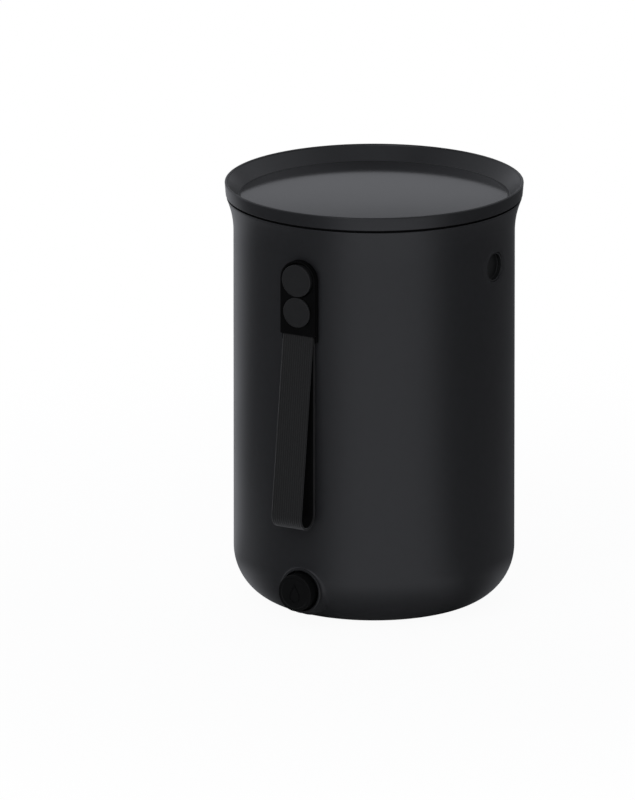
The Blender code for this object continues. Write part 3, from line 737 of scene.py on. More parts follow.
def dress(obj: Piece, finish: Finish, body: Body, node: str) -> None:
    """Gives a finished piece its material and its body, and hides the CAD node that it stands for.

    Args:
        obj: The piece.
        finish: Its finish, unless it has its finishes already.
        body: The body that it moves with.
        node: The CAD node that it replaces.
    """
    if not obj.data.materials:
        obj.data.materials.append(finish.material())
    shade(obj)
    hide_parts(node)
    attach(obj, body.value)
    LOG.info("%s: %d faces, on %s", obj.name, len(obj.data.polygons), body.value)


# Bucket


@dataclass(frozen=True)
class Rows:
    """Evenly spaced rows of points up a wall.

    Attributes:
        first: Height of the lowest row.
        pitch: Distance from row to row.
        count: How many rows there are.
    """

    first: float
    pitch: float
    count: int

    def heights(self) -> list[float]:
        """The heights of the rows."""
        return [self.first + self.pitch * step for step in range(self.count)]


@dataclass(frozen=True)
class Spot:
    """A place on the wall from which a piece is measured.

    Attributes:
        facing: The side that it faces.
        height: Its height in millimetres.
    """

    facing: Facing
    height: float

    def local(self, point: Vector) -> tuple[float, float, float]:
        """A point as distances across, above the spot and out from the axis, in millimetres."""
        across, out = point.dot(self.facing.across) / MM, point.dot(self.facing.out) / MM
        return across, point.z / MM - self.height, out

    def world(self, across: float, up: float, out: float) -> Vector:
        """The same the other way round."""
        place = self.facing.across * across + self.facing.out * out
        return Vector((place.x, place.y, self.height + up)) * MM


@dataclass
class Shell:
    """The bucket: one skin from the floor up the inside, over the rim and down to the base.

    Its round openings are drawn into the skins, so that the wall stays smooth round them.
    """

    radius: float = 113.0
    wall: float = 3.0
    height: float = 332.7
    corner: float = 44.0
    flare_radius: float = 72.0
    flare_height: float = 28.2
    rim_lead: Point = (0.1, 1.0)
    pad_radius: float = 40.0
    ring_radius: float = 60.0
    recess: float = 1.2
    steps: int = 240
    rows: tuple[Rows, ...] = (
        Rows(46.5, 2.5, 5),
        Rows(60.0, 20.0, 2),
        Rows(110.0, 30.0, 5),
        Rows(255.0, 15.0, 2),
        Rows(273.5, 2.5, 1),
        Rows(276.0, 2.4, 12),
    )
    flare_rows: int = 15
    inner_bowl_rows: int = 26
    outer_bowl_rows: int = 36
    # How a point is found: how far off a skin it may lie, as a share of the wall, how far out
    # the edge of a new hole may lie, as a share of its radius, and the same two in millimetres
    skin_share: float = 0.25
    edge_share: float = 1.5
    skin_fit: float = 0.05
    circle_fit: float = 0.01
    socket_hole: float = 12.4
    hole_round: float = 0.3
    tap_patch: float = 25.5
    patch_margin: float = 0.6
    boss_patch: float = 23.0
    collar_face: float = 114.5
    collar_radius: float = 18.6
    collar_foot: float = 22.3
    collar_depth: float = 8.5
    # The soft foot of the collar, and the most of the collar's side that it may take up
    fillet: float = 2.4
    fillet_share: float = 0.8
    fillet_steps: int = 5
    side_shares: tuple[float, ...] = (0.35, 0.7, 1.0)
    search_steps: int = 40
    pocket_radius: float = 16.5
    pocket_floor: float = 104.5
    spigot_hole: float = 8.4
    boss_radius: float = 19.5
    boss_back: float = 100.5
    spot_radius: float = 15.5
    spot_face: float = 101.5
    spot_step: float = 0.1

    def skin(self, height: float, inset: float) -> float:
        """Radius of the wall at a height, this far inside its outer surface."""
        flare_foot = self.height - self.flare_height
        if height < self.corner:
            drop = self.corner - height
            reach = self.corner - inset
            return self.radius - self.corner + math.sqrt(max(reach**2 - drop**2, 0.0))
        if height > flare_foot:
            bend = self.flare_radius + inset
            rise = height - flare_foot
            return self.radius + self.flare_radius - math.sqrt(bend**2 - rise**2)
        return self.radius - inset

    def skin_out(self, across: float, height: float, inset: float) -> float:
        """Distance of the wall from the axis plane, this far across from a piece's middle."""
        return math.sqrt(max(self.skin(height, inset) ** 2 - across**2, 0.0))

    def wall_out(self, height: float, reach: float, turn: float, inset: float = 0.0) -> float:
        """The same at a reach and a turn round a piece at a height."""
        across, up = polar(reach, turn)
        return self.skin_out(across, height + up, inset)

    def bowl(self, inset: float, steps: int) -> list[Point]:
        """The rounded corner of the base, from its foot up to the wall."""
        middle, reach = self.radius - self.corner, self.corner - inset
        turns = [math.pi / 2 * step / steps for step in range(steps + 1)]
        return [
            (middle + reach * math.sin(turn), self.corner - reach * math.cos(turn))
            for turn in turns
        ]

    def outline(self) -> list[Point]:
        """The wall's section, from the middle of the floor round to the middle of the base."""
        flare_foot = self.height - self.flare_height
        flare = Rows(flare_foot, self.flare_height / self.flare_rows, self.flare_rows)
        heights = [height for rows in (*self.rows, flare) for height in rows.heights()]
        inner = self.bowl(self.wall, self.inner_bowl_rows)
        inner += [(self.skin(height, self.wall), height) for height in heights]
        outer = self.bowl(0.0, self.outer_bowl_rows)
        outer += [(self.skin(height, 0.0), height) for height in heights]
        top = self.height - FULL
        mouth, edge = self.skin(top, self.wall), self.skin(top, 0.0)
        lead, drop = self.rim_lead
        rim = softened(
            [
                (mouth - lead, top - drop),
                (mouth, self.height, FULL),
                (edge, self.height, FULL),
                (edge - lead, top - drop),
            ]
        )
        base = softened(
            [
                outer[0],
                (self.ring_radius, 0.0, EASY),
                (self.ring_radius - self.recess, self.recess, EASY),
                (self.pad_radius + self.recess, self.recess, EASY),
                (self.pad_radius, 0.0, EASY),
                (0.0, 0.0),
            ]
        )
        return [(0.0, self.wall), *inner, *rim[1:-1], *outer[::-1], *base[1:]]

    def redraw(self, obj: Piece, spot: Spot, wanted: Callable[[Vert], bool], ring: Ring) -> None:
        """Moves vertices onto a ring round a spot, each at its own turn.

        Args:
            obj: The shell, open in edit mode.
            spot: The middle of the ring.
            wanted: The test for the vertices.
            ring: The ring's radius and its distance from the axis at a turn.
        """
        mesh = bmesh.from_edit_mesh(obj.data)
        for vert in mesh.verts:
            if wanted(vert):
                across, up, _ = spot.local(vert.co)
                turn = math.atan2(up, across)
                reach, out = ring(turn)
                vert.co = spot.world(*polar(reach, turn), out)
        bmesh.update_edit_mesh(obj.data)

    def open_skin(self, obj: Piece, spot: Spot, radius: float, inset: float) -> None:
        """Opens a round hole in one skin, with its edge drawn onto an exact circle.

        Args:
            obj: The shell.
            spot: The middle of the hole.
            radius: Its radius.
            inset: How far inside the outer surface the skin lies: 0 or the wall.
        """

        def on_skin(vert: Vert, reach: float) -> bool:
            """Whether a vertex lies on the skin, within a reach of the spot."""
            across, up, out = spot.local(vert.co)
            if out < 0 or math.hypot(across, up) > reach:
                return False
            off = math.hypot(across, out) - self.skin(spot.height + up, inset)
            return abs(off) < self.wall * self.skin_share

        def on_edge(vert: Vert) -> bool:
            """Whether a vertex lies on the edge of the new hole."""
            return vert.is_boundary and on_skin(vert, radius * self.edge_share)

        def circle(turn: float) -> Point:
            """The hole's edge on the skin."""
            return radius, self.wall_out(spot.height, radius, turn, inset)

        with editing(obj, Element.FACE):
            pick(obj, lambda face: any(on_skin(vert, radius) for vert in face.verts), Element.FACE)
            bpy.ops.mesh.delete(type="FACE")
            self.redraw(obj, spot, on_edge, circle)

    def line_with(self, obj: Piece, spot: Spot, radius: float, rings: Sequence[Ring]) -> None:
        """Grows the lining of a hole from its outer edge inwards and joins it to the inner skin.

        Args:
            obj: The shell, open in both skins.
            spot: The middle of the hole.
            radius: The radius of the outer skin's opening.
            rings: For each ring, its radius and its distance from the axis at a turn.
        """

        def on_circle(vert: Vert) -> bool:
            """Whether a vertex lies on the edge of the outer skin's opening."""
            across, up, out = spot.local(vert.co)
            skin = self.skin_out(across, spot.height + up, 0.0)
            off = abs(math.hypot(across, up) - radius)
            return off < self.circle_fit and abs(out - skin) < self.skin_fit

        def outer(edge: Edge) -> bool:
            """Whether an edge belongs to the opening of the outer skin."""
            return edge.is_boundary and all(map(on_circle, edge.verts))

        def loose(edge: Edge) -> bool:
            """Whether an edge is an open one on this side of the bin."""
            return edge.is_boundary and spot.local(edge.verts[0].co)[2] > 0

        with editing(obj, Element.EDGE):
            pick(obj, outer, Element.EDGE)
            for ring in rings:
                bpy.ops.mesh.extrude_edges_move()
                self.redraw(obj, spot, lambda vert: vert.select, ring)
            pick(obj, loose, Element.EDGE)
            bpy.ops.mesh.bridge_edge_loops()

    def socket_rings(self) -> list[Ring]:
        """The lining of a plain hole for a socket cup."""

        def ring(spread: float, inset: float, share: float) -> Ring:
            """A ring wider than the hole, inset in the wall, at a share of the way through it."""

            def at(turn: float) -> Point:
                """The ring's radius and its distance from the axis at a turn."""
                reach = self.socket_hole + spread
                outer = self.wall_out(SOCKET_HEIGHT, reach, turn)
                inner = self.wall_out(SOCKET_HEIGHT, reach, turn, self.wall)
                return reach, outer - inset - (outer - inner - 2 * inset) * share

            return at

        soft, middle = self.hole_round, self.hole_round * MIDDLE_SHARE
        return [ring(middle, middle, 0.0), ring(0.0, soft, 0.0), ring(0.0, soft, 1.0)]

    def collar_reach(self, out: float) -> float:
        """Radius of the collar's flared side at a distance from the axis."""
        share = min(max((self.collar_face - FULL - out) / self.collar_depth, 0.0), 1.0)
        spread = self.collar_foot - self.collar_radius
        return self.collar_radius + spread * (1 - math.cos(math.pi / 2 * share))

    def collar_meets(self, turn: float) -> float:
        """Distance from the axis where the collar's side meets the wall."""
        low, high = 0.0, self.collar_face
        for _ in range(self.search_steps):
            middle = (low + high) / 2
            if self.wall_out(TAP_HEIGHT, self.collar_reach(middle), turn) > middle:
                low = middle
            else:
                high = middle
        return low

    def collar_rise(self, meet: float) -> float:
        """How far the soft foot rises up the collar from where its side meets the wall."""
        return min(self.fillet, self.fillet_share * (self.collar_face - FULL - meet))

    def tap_rings(self) -> list[Ring]:
        """The tap's seat: collar, pocket, spigot hole, spot face and boss."""

        def foot(share: float) -> Ring:
            """A ring of the soft foot where the wall runs up into the collar."""

            def at(turn: float) -> Point:
                """The ring's radius and its distance from the axis at a turn."""
                meet = self.collar_meets(turn)
                reach = self.collar_reach(meet)
                low_reach = reach + min(self.fillet, self.tap_patch - self.patch_margin - reach)
                high = meet + self.collar_rise(meet)
                start = Vector((low_reach, self.wall_out(TAP_HEIGHT, low_reach, turn)))
                corner = Vector((reach, meet))
                end = Vector((self.collar_reach(high), high))
                return tuple(start.lerp(corner, share).lerp(corner.lerp(end, share), share))

            return at

        def side(share: float) -> Ring:
            """A ring of the collar's flared side above its foot."""

            def at(turn: float) -> Point:
                """The ring's radius and its distance from the axis at a turn."""
                meet = self.collar_meets(turn)
                start = meet + self.collar_rise(meet)
                out = start + (self.collar_face - FULL - start) * share
                return self.collar_reach(out), out

            return at

        def fixed(reach: float, out: float) -> Ring:
            """A plain round ring."""
            return lambda turn: (reach, out)

        def back(reach: float, out: float) -> Ring:
            """A ring behind the wall, which sinks into it where the base's corner is in the way."""
            return lambda turn: (reach, min(out, self.wall_out(TAP_HEIGHT, reach, turn, self.wall)))

        face, pocket, floor = self.collar_face, self.pocket_radius, self.pocket_floor
        collar_middle, pocket_middle = FULL * MIDDLE_SHARE, SOFT * MIDDLE_SHARE
        return [
            *[foot(step / self.fillet_steps) for step in range(self.fillet_steps + 1)],
            *[side(share) for share in self.side_shares],
            fixed(self.collar_radius - collar_middle, face - collar_middle),
            fixed(self.collar_radius - FULL, face),
            fixed(pocket + SOFT, face),
            fixed(pocket + pocket_middle, face - pocket_middle),
            fixed(pocket, face - SOFT),
            fixed(pocket, floor + SOFT),
            fixed(pocket - pocket_middle, floor + pocket_middle),
            fixed(pocket - SOFT, floor),
            fixed(self.spigot_hole, floor),
            fixed(self.spigot_hole, self.spot_face),
            fixed(self.spot_radius, self.spot_face),
            back(self.spot_radius + self.spot_step, self.boss_back),
            back(self.boss_radius - EASY, self.boss_back),
            back(self.boss_radius, self.boss_back + EASY),
            back(self.boss_radius + 2 * EASY, self.radius),
        ]

    def build(self) -> None:
        """Builds the shell."""
        obj = turned("bin_shell", self.outline(), self.steps)
        gloss_shadow_ramp = self.socket_hole + self.hole_round
        for facing in SOCKET_SIDES:
            spot = Spot(facing, SOCKET_HEIGHT)
            self.open_skin(obj, spot, gloss_shadow_ramp, 0.0)
            self.open_skin(obj, spot, gloss_shadow_ramp, self.wall)
            self.line_with(obj, spot, gloss_shadow_ramp, self.socket_rings())
        spot = Spot(Facing.FRONT, TAP_HEIGHT)
        self.open_skin(obj, spot, self.tap_patch, 0.0)
        self.open_skin(obj, spot, self.boss_patch, self.wall)
        self.line_with(obj, spot, self.tap_patch, self.tap_rings())
        tidy(obj)
        dress(obj, SHELL_FINISH, Body.BIN, "bin_body")


@dataclass
class SocketCups:
    """The blind cups that line the strap's sockets."""

    bore: float = 10.75
    radius: float = 12.1
    floor: float = 108.5
    mouth: float = 112.2
    lip: float = 0.3
    lip_round: float = 0.25
    flange_radius: float = 15.5
    flange_face: float = 108.33
    back: float = 106.83

    def build(self) -> None:
        """Builds one cup and copies it to the other sockets."""
        outline = [
            (0.0, self.floor),
            (self.bore, self.floor, SOFT),
            (self.bore, self.mouth - self.lip - HAIR),
            (self.bore, self.mouth, self.lip),
            (self.radius, self.mouth, self.lip_round),
            (self.radius, self.flange_face, CRISP),
            (self.flange_radius, self.flange_face, FINE),
            (self.flange_radius, self.back, FINE),
            (0.0, self.back),
        ]
        first = turned("socket_cup", outline)
        depth, reach = (self.mouth - self.lip) * MM, self.bore * MM + WELD

        def inside(vert: Vert) -> bool:
            """Whether a vertex lies in the cup, under its lip."""
            return vert.co.xy.length < reach and vert.co.z < depth

        two_tone(first, SHELL_FINISH, FITTING_FINISH, inside)
        for facing in SOCKET_SIDES:
            side = facing.name.lower()
            cup = face_out(copied(first, f"{side}_cup"), SOCKET_HEIGHT, facing)
            dress(cup, SHELL_FINISH, Body.BIN, f"{side}_socket_cup")
        bpy.data.objects.remove(first)


# Lid


@dataclass
class Lid:
    """The dished lid with its band, seal groove and skirt, and the seal in the groove."""

    radius: float = 120.0
    band_foot: float = 334.7
    top: float = 345.4
    draft: float = 0.8
    wall: float = 2.3
    dish_radius: float = 109.0
    dish_floor: float = 333.6
    dish_round: float = 0.8
    dish_lead: float = 2.0
    polish_margin: float = 0.5
    underside: float = 331.9
    underside_round: float = 1.0
    groove_top: float = 339.4
    groove_draft: float = 0.3
    skirt_radius: float = 109.4
    skirt_foot: float = 315.9
    seal_radius: float = 116.5
    seal_bore: float = 112.6
    seal_foot: float = 333.0
    seal_shoulder: float = 335.5
    seal_key: float = 337.8
    seal_clearance: float = 0.45
    rim_guard: float = 0.3
    rim_steps: int = 10
    steps: int = 288

    def cone(self) -> tuple[Vector, Vector]:
        """The foot of the cone's underside and its direction."""
        run = self.radius - self.wall - self.dish_radius
        rise = self.top - self.dish_floor - self.wall / 2
        along = Vector((run, rise)).normalized()
        foot = Vector((self.dish_radius, self.dish_floor))
        return foot + Vector((along.y, -along.x)) * self.wall, along

    def cone_radius(self, height: float) -> float:
        """Radius of the cone's underside at a height."""
        foot, along = self.cone()
        return foot.x + (height - foot.y) * along.x / along.y

    def cone_height(self, radius: float) -> float:
        """Height of the cone's underside at a radius."""
        foot, along = self.cone()
        return foot.y + (radius - foot.x) * along.y / along.x

    def rim(self) -> list[Point]:
        """The round top edge, from the inside over to the outside."""
        reach = self.wall / 2
        out, up = self.radius - reach, self.top - reach
        turns = [math.pi * (1 - step / self.rim_steps) for step in range(self.rim_steps + 1)]
        arc = [(out + reach * math.cos(turn), up + reach * math.sin(turn)) for turn in turns]
        # A point just below the edge keeps the shading of the cone flat
        below = Vector(arc[0]) - self.cone()[1] * self.rim_guard
        return [tuple(below), *arc]

    def build(self) -> None:
        """Builds the lid and its seal."""
        band, skirt = self.radius - self.draft, self.skirt_radius
        outline = [
            (0.0, self.dish_floor),
            (self.dish_radius - self.dish_lead, self.dish_floor),
            (self.dish_radius, self.dish_floor, self.dish_round),
            *self.rim(),
            (band, self.band_foot, SOFT),
            (band - self.wall, self.band_foot, FINE),
            (band - self.wall + self.groove_draft, self.groove_top, FINE),
            (self.cone_radius(self.groove_top), self.groove_top, FINE),
            (skirt, self.cone_height(skirt), SOFT),
            (skirt, self.skirt_foot, FULL),
            (skirt - self.wall, self.skirt_foot, FULL),
            (skirt - self.wall, self.underside, self.underside_round),
            (0.0, self.underside),
        ]
        lid = turned("lid_moulding", outline, self.steps)
        floor, edge = self.dish_floor * MM, (self.dish_radius - self.polish_margin) * MM

        # The dish's floor takes both the polish and the painted light.
        def polished(vert: Vert) -> bool:
            """Whether a vertex lies on the dish's flat floor."""
            return abs(vert.co.z - floor) < WELD and vert.co.xy.length < edge

        two_tone(lid, LID_FINISH, POLISHED_LIT_DISH_FINISH, polished)
        dress(lid, LID_FINISH, Body.LID, "lid")
        seal = turned("lid_seal_ring", self.seal_outline(), self.steps, closed=True)
        dress(seal, SEAL_GAP_SHADE_FINISH, Body.LID, "lid_seal")

    def seal_outline(self) -> list[Corner]:
        """The seal's section: a flat foot on the rim and a key up into the groove."""
        outer = self.radius - self.draft - self.wall - GAP
        inner = self.cone_radius(self.seal_key) + self.seal_clearance
        low = self.cone_height(self.seal_bore - self.seal_clearance)
        middle = (inner + outer) / 2
        return [
            (middle, self.seal_key),
            (outer, self.seal_key, FINE),
            (outer, self.seal_shoulder),
            (self.seal_radius, self.seal_shoulder, CRISP),
            (self.seal_radius, self.seal_foot, EASY),
            (self.seal_bore, self.seal_foot, EASY),
            (self.seal_bore, low, FINE),
            (inner, self.seal_key, CRISP),
            (middle - HAIR, self.seal_key),
        ]


# Strainer


@dataclass
class Strainer:
    """The slotted plate on its four legs."""

    underside: float = 56.0
    plate: float = 2.4
    radius: float = 108.4
    lip: float = 2.0
    lip_top: float = 61.0
    rim_round: float = 0.8
    floor_round: float = 1.0
    notch_reach: float = 17.5
    notch_depth: float = 104.83
    slot_width: float = 3.0
    slot_length: float = 14.1
    slot_pitch: float = 18.0
    slot_sides: int = 16
    rings: tuple[float, ...] = (23.85, 43.9, 69.9, 92.1)
    leg_place: float = 57.0
    leg_radius: float = 5.0
    leg_foot: float = 7.0
    foot_height: float = 3.0
    flare_top: float = 10.0
    flare_round: float = 3.0
    spigot: float = 3.6
    hole_sides: int = 32
    floor: float = 3.3
    plate_steps: int = 192
    leg_steps: int = 64

    def slots(self) -> Piece:
        """The cutter: rings of round-ended radial slots."""
        half, reach = self.slot_length / 2 - self.slot_width / 2, self.slot_width / 2
        low, high = self.underside - OVERRUN, self.underside + self.plate + OVERRUN
        first = rod("slot", reach, low, high, self.slot_sides)
        with editing(first):
            pick(first, lambda vert: vert.co.x > WELD)
            bpy.ops.transform.translate(value=(half * MM, 0.0, 0.0))
            pick(first, lambda vert: vert.co.x < WELD)
            bpy.ops.transform.translate(value=(-half * MM, 0.0, 0.0))
        cutters = []
        for index, ring in enumerate(self.rings):
            count = round(math.tau * ring / self.slot_pitch)
            for slot in range(count):
                twin = copied(first, f"slot_{index}_{slot}")
                # Every second ring is turned by half a pitch
                turn = Matrix.Rotation(math.tau * (slot + index % 2 / 2) / count, 4, "Z")
                twin.data.transform(turn @ Matrix.Translation((ring * MM, 0.0, 0.0)))
                cutters.append(twin)
        bpy.data.objects.remove(first)
        return joined("slots", cutters)

    def build(self) -> None:
        """Builds the plate and the legs."""
        top = self.underside + self.plate
        self.build_plate(top)
        self.build_legs(top)

    def build_plate(self, top: float) -> None:
        """Builds the plate, with its slots, its notches at the sockets and its leg holes."""
        inner = self.radius - self.lip
        outline = [
            (0.0, top),
            (inner, top, self.floor_round),
            (inner, self.lip_top, FULL),
            (self.radius, self.lip_top, FULL),
            (self.radius, self.underside, self.rim_round),
            (0.0, self.underside),
        ]
        plate = turned("strainer_disc", outline, self.plate_steps)
        cut(plate, self.slots())
        below = self.underside - OVERRUN
        for facing in SOCKET_SIDES:
            low = (-self.notch_reach, -self.radius - OVERRUN, below)
            high = (self.notch_reach, -self.notch_depth, self.lip_top + OVERRUN)
            cut(plate, settle(block("notch", low, high), turn=(0.0, 0.0, facing.value)))
        for facing in Facing:
            hole = rod("leg_hole", self.spigot + GAP, below, top + OVERRUN, self.hole_sides)
            cut(plate, settle(hole, facing.out * self.leg_place))
        dress(plate, STRAINER_FINISH, Body.STRAINER, "strainer_plate")

    def build_legs(self, top: float) -> None:
        """Builds one leg, whose spigot fills its hole in the plate, and copies it to all sides."""
        shoulder = self.underside - GAP
        outline = [
            (0.0, top),
            (self.spigot, top, FULL),
            (self.spigot, shoulder),
            (self.leg_radius, shoulder, EASY),
            (self.leg_radius, self.floor + self.flare_top, self.flare_round),
            (self.leg_foot, self.floor + self.foot_height, self.floor_round),
            (self.leg_foot, self.floor, SOFT),
            (0.0, self.floor),
        ]
        first = turned("leg", outline, self.leg_steps)
        for facing in Facing:
            side = facing.name.lower()
            leg = settle(copied(first, f"{side}_leg"), facing.out * self.leg_place)
            dress(leg, STRAINER_FINISH, Body.STRAINER, f"strainer_{side}_leg")
        bpy.data.objects.remove(first)


# Tap


@dataclass
class Tap:
    """The drain tap: flanged spigot, gasket, washer, nut, seal rings and turning knob."""

    bore: float = 4.5
    spigot: float = 8.0
    tail: float = 88.5
    thread_start: float = 1.2
    thread_pitch: float = 1.0
    thread_depth: float = 0.35
    thread_turns: int = 8
    flange_back: float = 106.7
    flange_face: float = 108.7
    flange_radius: float = 13.6
    barrel: float = 9.6
    barrel_end: float = 121.2
    end_wall: float = 1.8
    grooves: tuple[float, ...] = (110.0, 112.5)
    groove_width: float = 1.9
    groove_depth: float = 1.4
    seal_sides: int = 16
    seal_steps: int = 72
    port_place: float = 117.0
    port: float = 2.2
    port_sides: int = 40
    gasket_radius: float = 13.0
    gasket_back: float = 104.8
    gasket_face: float = 106.4
    washer_radius: float = 14.5
    washer_back: float = 99.7
    washer_face: float = 101.2
    nut_back: float = 93.4
    nut_face: float = 99.4
    nut_flat: float = 12.0
    nut_end: float = 12.2
    nut_corner: float = 14.6
    nut_chamfer: float = 1.6
    knob_radius: float = 15.0
    knob_back: float = 109.0
    knob_face: float = 123.5
    knob_end: float = 2.0
    knob_bore: float = 10.1
    dish: float = 0.5
    dish_radius: float = 12.8
    dish_slope: float = 0.8
    drop_width: float = 9.6
    drop_height: float = 16.0
    drop_stroke: float = 1.0
    drop_depth: float = 0.5
    drop_sides: int = 72
    # The power that draws the drop's tip out, and what the widest part of that shape measures
    drop_point: float = 1.5
    drop_belly: float = 0.7
    # How much shorter the core of the line is, and how much lower its middle lies, in strokes
    tip_strokes: float = 3.2
    shift_strokes: float = 0.6

    def build(self) -> None:
        """Builds the tap's pieces."""
        self.build_knob()
        self.build_body()
        self.build_flat_rings()
        self.build_nut()
        self.build_seal_rings()

    def build_knob(self) -> None:
        """Builds the knob, with its outlet at the side and a drop sunk into its face."""
        face = self.knob_face
        outline = [
            (0.0, face - self.dish),
            (self.dish_radius - self.dish_slope, face - self.dish, FULL),
            (self.dish_radius, face, EASY),
            (self.knob_radius, face, SOFT),
            (self.knob_radius, self.knob_back, EASY),
            (self.knob_bore, self.knob_back, FINE),
            (self.knob_bore, face - self.knob_end, FINE),
            (0.0, face - self.knob_end),
        ]
        knob = turned("knob", outline)
        cut(knob, self.drop_cutter())
        face_out(knob, TAP_HEIGHT)
        outlet = rod("outlet", self.port + GAP, 0.0, self.knob_radius + OVERRUN, self.port_sides)
        cut(knob, settle(outlet, (0.0, -self.port_place, TAP_HEIGHT), (0.0, -90.0, 0.0)))
        dress(knob, KNOB_FINISH, Body.KNOB, "tap_knob")

    def drop_cutter(self) -> Piece:
        """A ring in the shape of a drop, to sink a line into the knob's face."""
        floor, top = self.knob_face - self.dish - self.drop_depth, self.knob_face + OVERRUN
        drop = self.drop_bar("drop", floor, top, self.drop_width, self.drop_height)
        width = self.drop_width - 2 * self.drop_stroke
        height = self.drop_height - self.tip_strokes * self.drop_stroke
        shift = -self.shift_strokes * self.drop_stroke
        cut(drop, self.drop_bar("drop_core", floor - OVERRUN, top + OVERRUN, width, height, shift))
        return drop

    def drop_bar(
        self, name: str, low: float, high: float, width: float, height: float, shift: float = 0.0
    ) -> Piece:
        """A bar along Z with the section of a drop, its tip up.

        Args:
            name: The object's name.
            low: Where it starts.
            high: Where it ends.
            width: The drop's width.
            height: Its height.
            shift: How far its middle moves up.

        Returns:
            The bar as an object.
        """
        bar = rod(name, 1.0, low, high, self.drop_sides)
        for vert in bar.data.vertices:
            turn = math.atan2(vert.co.x, vert.co.y)
            belly = math.sin(turn) * abs(math.sin(turn / 2)) ** self.drop_point / self.drop_belly
            vert.co.x = belly * width / 2 * MM
            vert.co.y = (math.cos(turn) * height / 2 + shift) * MM
        return bar

    def build_body(self) -> None:
        """Builds the flanged spigot and barrel."""
        groove = self.barrel - self.groove_depth
        seats: list[Corner] = []
        for start in reversed(self.grooves):
            end = start + self.groove_width
            seats += [(self.barrel, end), (groove, end, CRISP)]
            seats += [(groove, start, CRISP), (self.barrel, start)]
        threads: list[Corner] = []
        for turn in reversed(range(self.thread_turns)):
            start = self.tail + self.thread_start + turn * self.thread_pitch
            threads.append((self.spigot - self.thread_depth, start + self.thread_pitch / 2))
            threads.append((self.spigot, start))
        outline = [
            (0.0, self.barrel_end),
            (self.barrel, self.barrel_end, FULL),
            *seats,
            (self.barrel, self.flange_face, FINE),
            (self.flange_radius, self.flange_face, EASY),
            (self.flange_radius, self.flange_back, EASY),
            (self.spigot, self.flange_back),
            *threads,
            (self.spigot, self.tail, FULL),
            (self.bore, self.tail, SOFT),
            (self.bore, self.barrel_end - self.end_wall, SOFT),
            (0.0, self.barrel_end - self.end_wall),
        ]
        body = face_out(turned("spigot", outline), TAP_HEIGHT)
        port = rod("port", self.port, -self.barrel - OVERRUN, 0.0, self.port_sides)
        cut(body, settle(port, (0.0, -self.port_place, TAP_HEIGHT)))
        dress(body, FITTING_FINISH, Body.BIN, "tap_body")

    def build_flat_rings(self) -> None:
        """Builds the gasket and the washer."""
        gasket = (self.gasket_radius, self.gasket_back, self.gasket_face)
        washer = (self.washer_radius, self.washer_back, self.washer_face)
        for name, sizes in (("gasket", gasket), ("washer", washer)):
            section = ring_section(self.spigot + GAP, *sizes)
            ring = face_out(turned(name, section, closed=True), TAP_HEIGHT)
            dress(ring, RUBBER_FINISH, Body.BIN, f"tap_{name}")

    def build_nut(self) -> None:
        """Builds the hexagonal nut, with its corners turned down at both ends."""
        low, high, chamfer = self.nut_back, self.nut_face, self.nut_chamfer
        nut = rod("nut", self.nut_flat / math.cos(math.radians(30)), low, high, sides=6)
        cut(nut, rod("nut_bore", self.spigot + GAP, low - OVERRUN, high + OVERRUN))
        outline = [
            (0.0, low),
            (self.nut_end, low),
            (self.nut_corner, low + chamfer),
            (self.nut_corner, high - chamfer),
            (self.nut_end, high),
            (0.0, high),
        ]
        cut(nut, turned("rounding", outline), "INTERSECT")
        face_out(nut, TAP_HEIGHT)
        dress(nut, FITTING_FINISH, Body.BIN, "tap_nut")

    def build_seal_rings(self) -> None:
        """Builds the two seal rings in the barrel's grooves."""
        low, high = self.barrel - self.groove_depth + GAP, self.knob_bore - GAP
        middle, reach = (low + high) / 2, (high - low) / 2
        for name, start in zip(("rear", "front"), self.grooves):
            section = []
            for step in range(self.seal_sides):
                across, up = polar(reach, math.tau * step / self.seal_sides)
                section.append((middle + across, start + self.groove_width / 2 - up))
            ring = turned(f"{name}_seal_ring", section, self.seal_steps, closed=True)
            face_out(ring, TAP_HEIGHT)
            dress(ring, RUBBER_FINISH, Body.BIN, f"tap_{name}_o_ring")


# Strap


@dataclass(frozen=True)
class StudSizes:
    """The sizes of one stud and its plug.

    Attributes:
        head: Radius of the head.
        pin_end: Distance of the pin's end from the axis.
        neck_back: Distance of the neck's back.
        head_back: Distance of the head's back.
        face: Distance of its face.
        plug_back: Distance of the plug's back.
        plug_face: Distance of the plug's face.
    """

    head: float
    pin_end: float
    neck_back: float
    head_back: float
    face: float
    plug_back: float
    plug_face: float


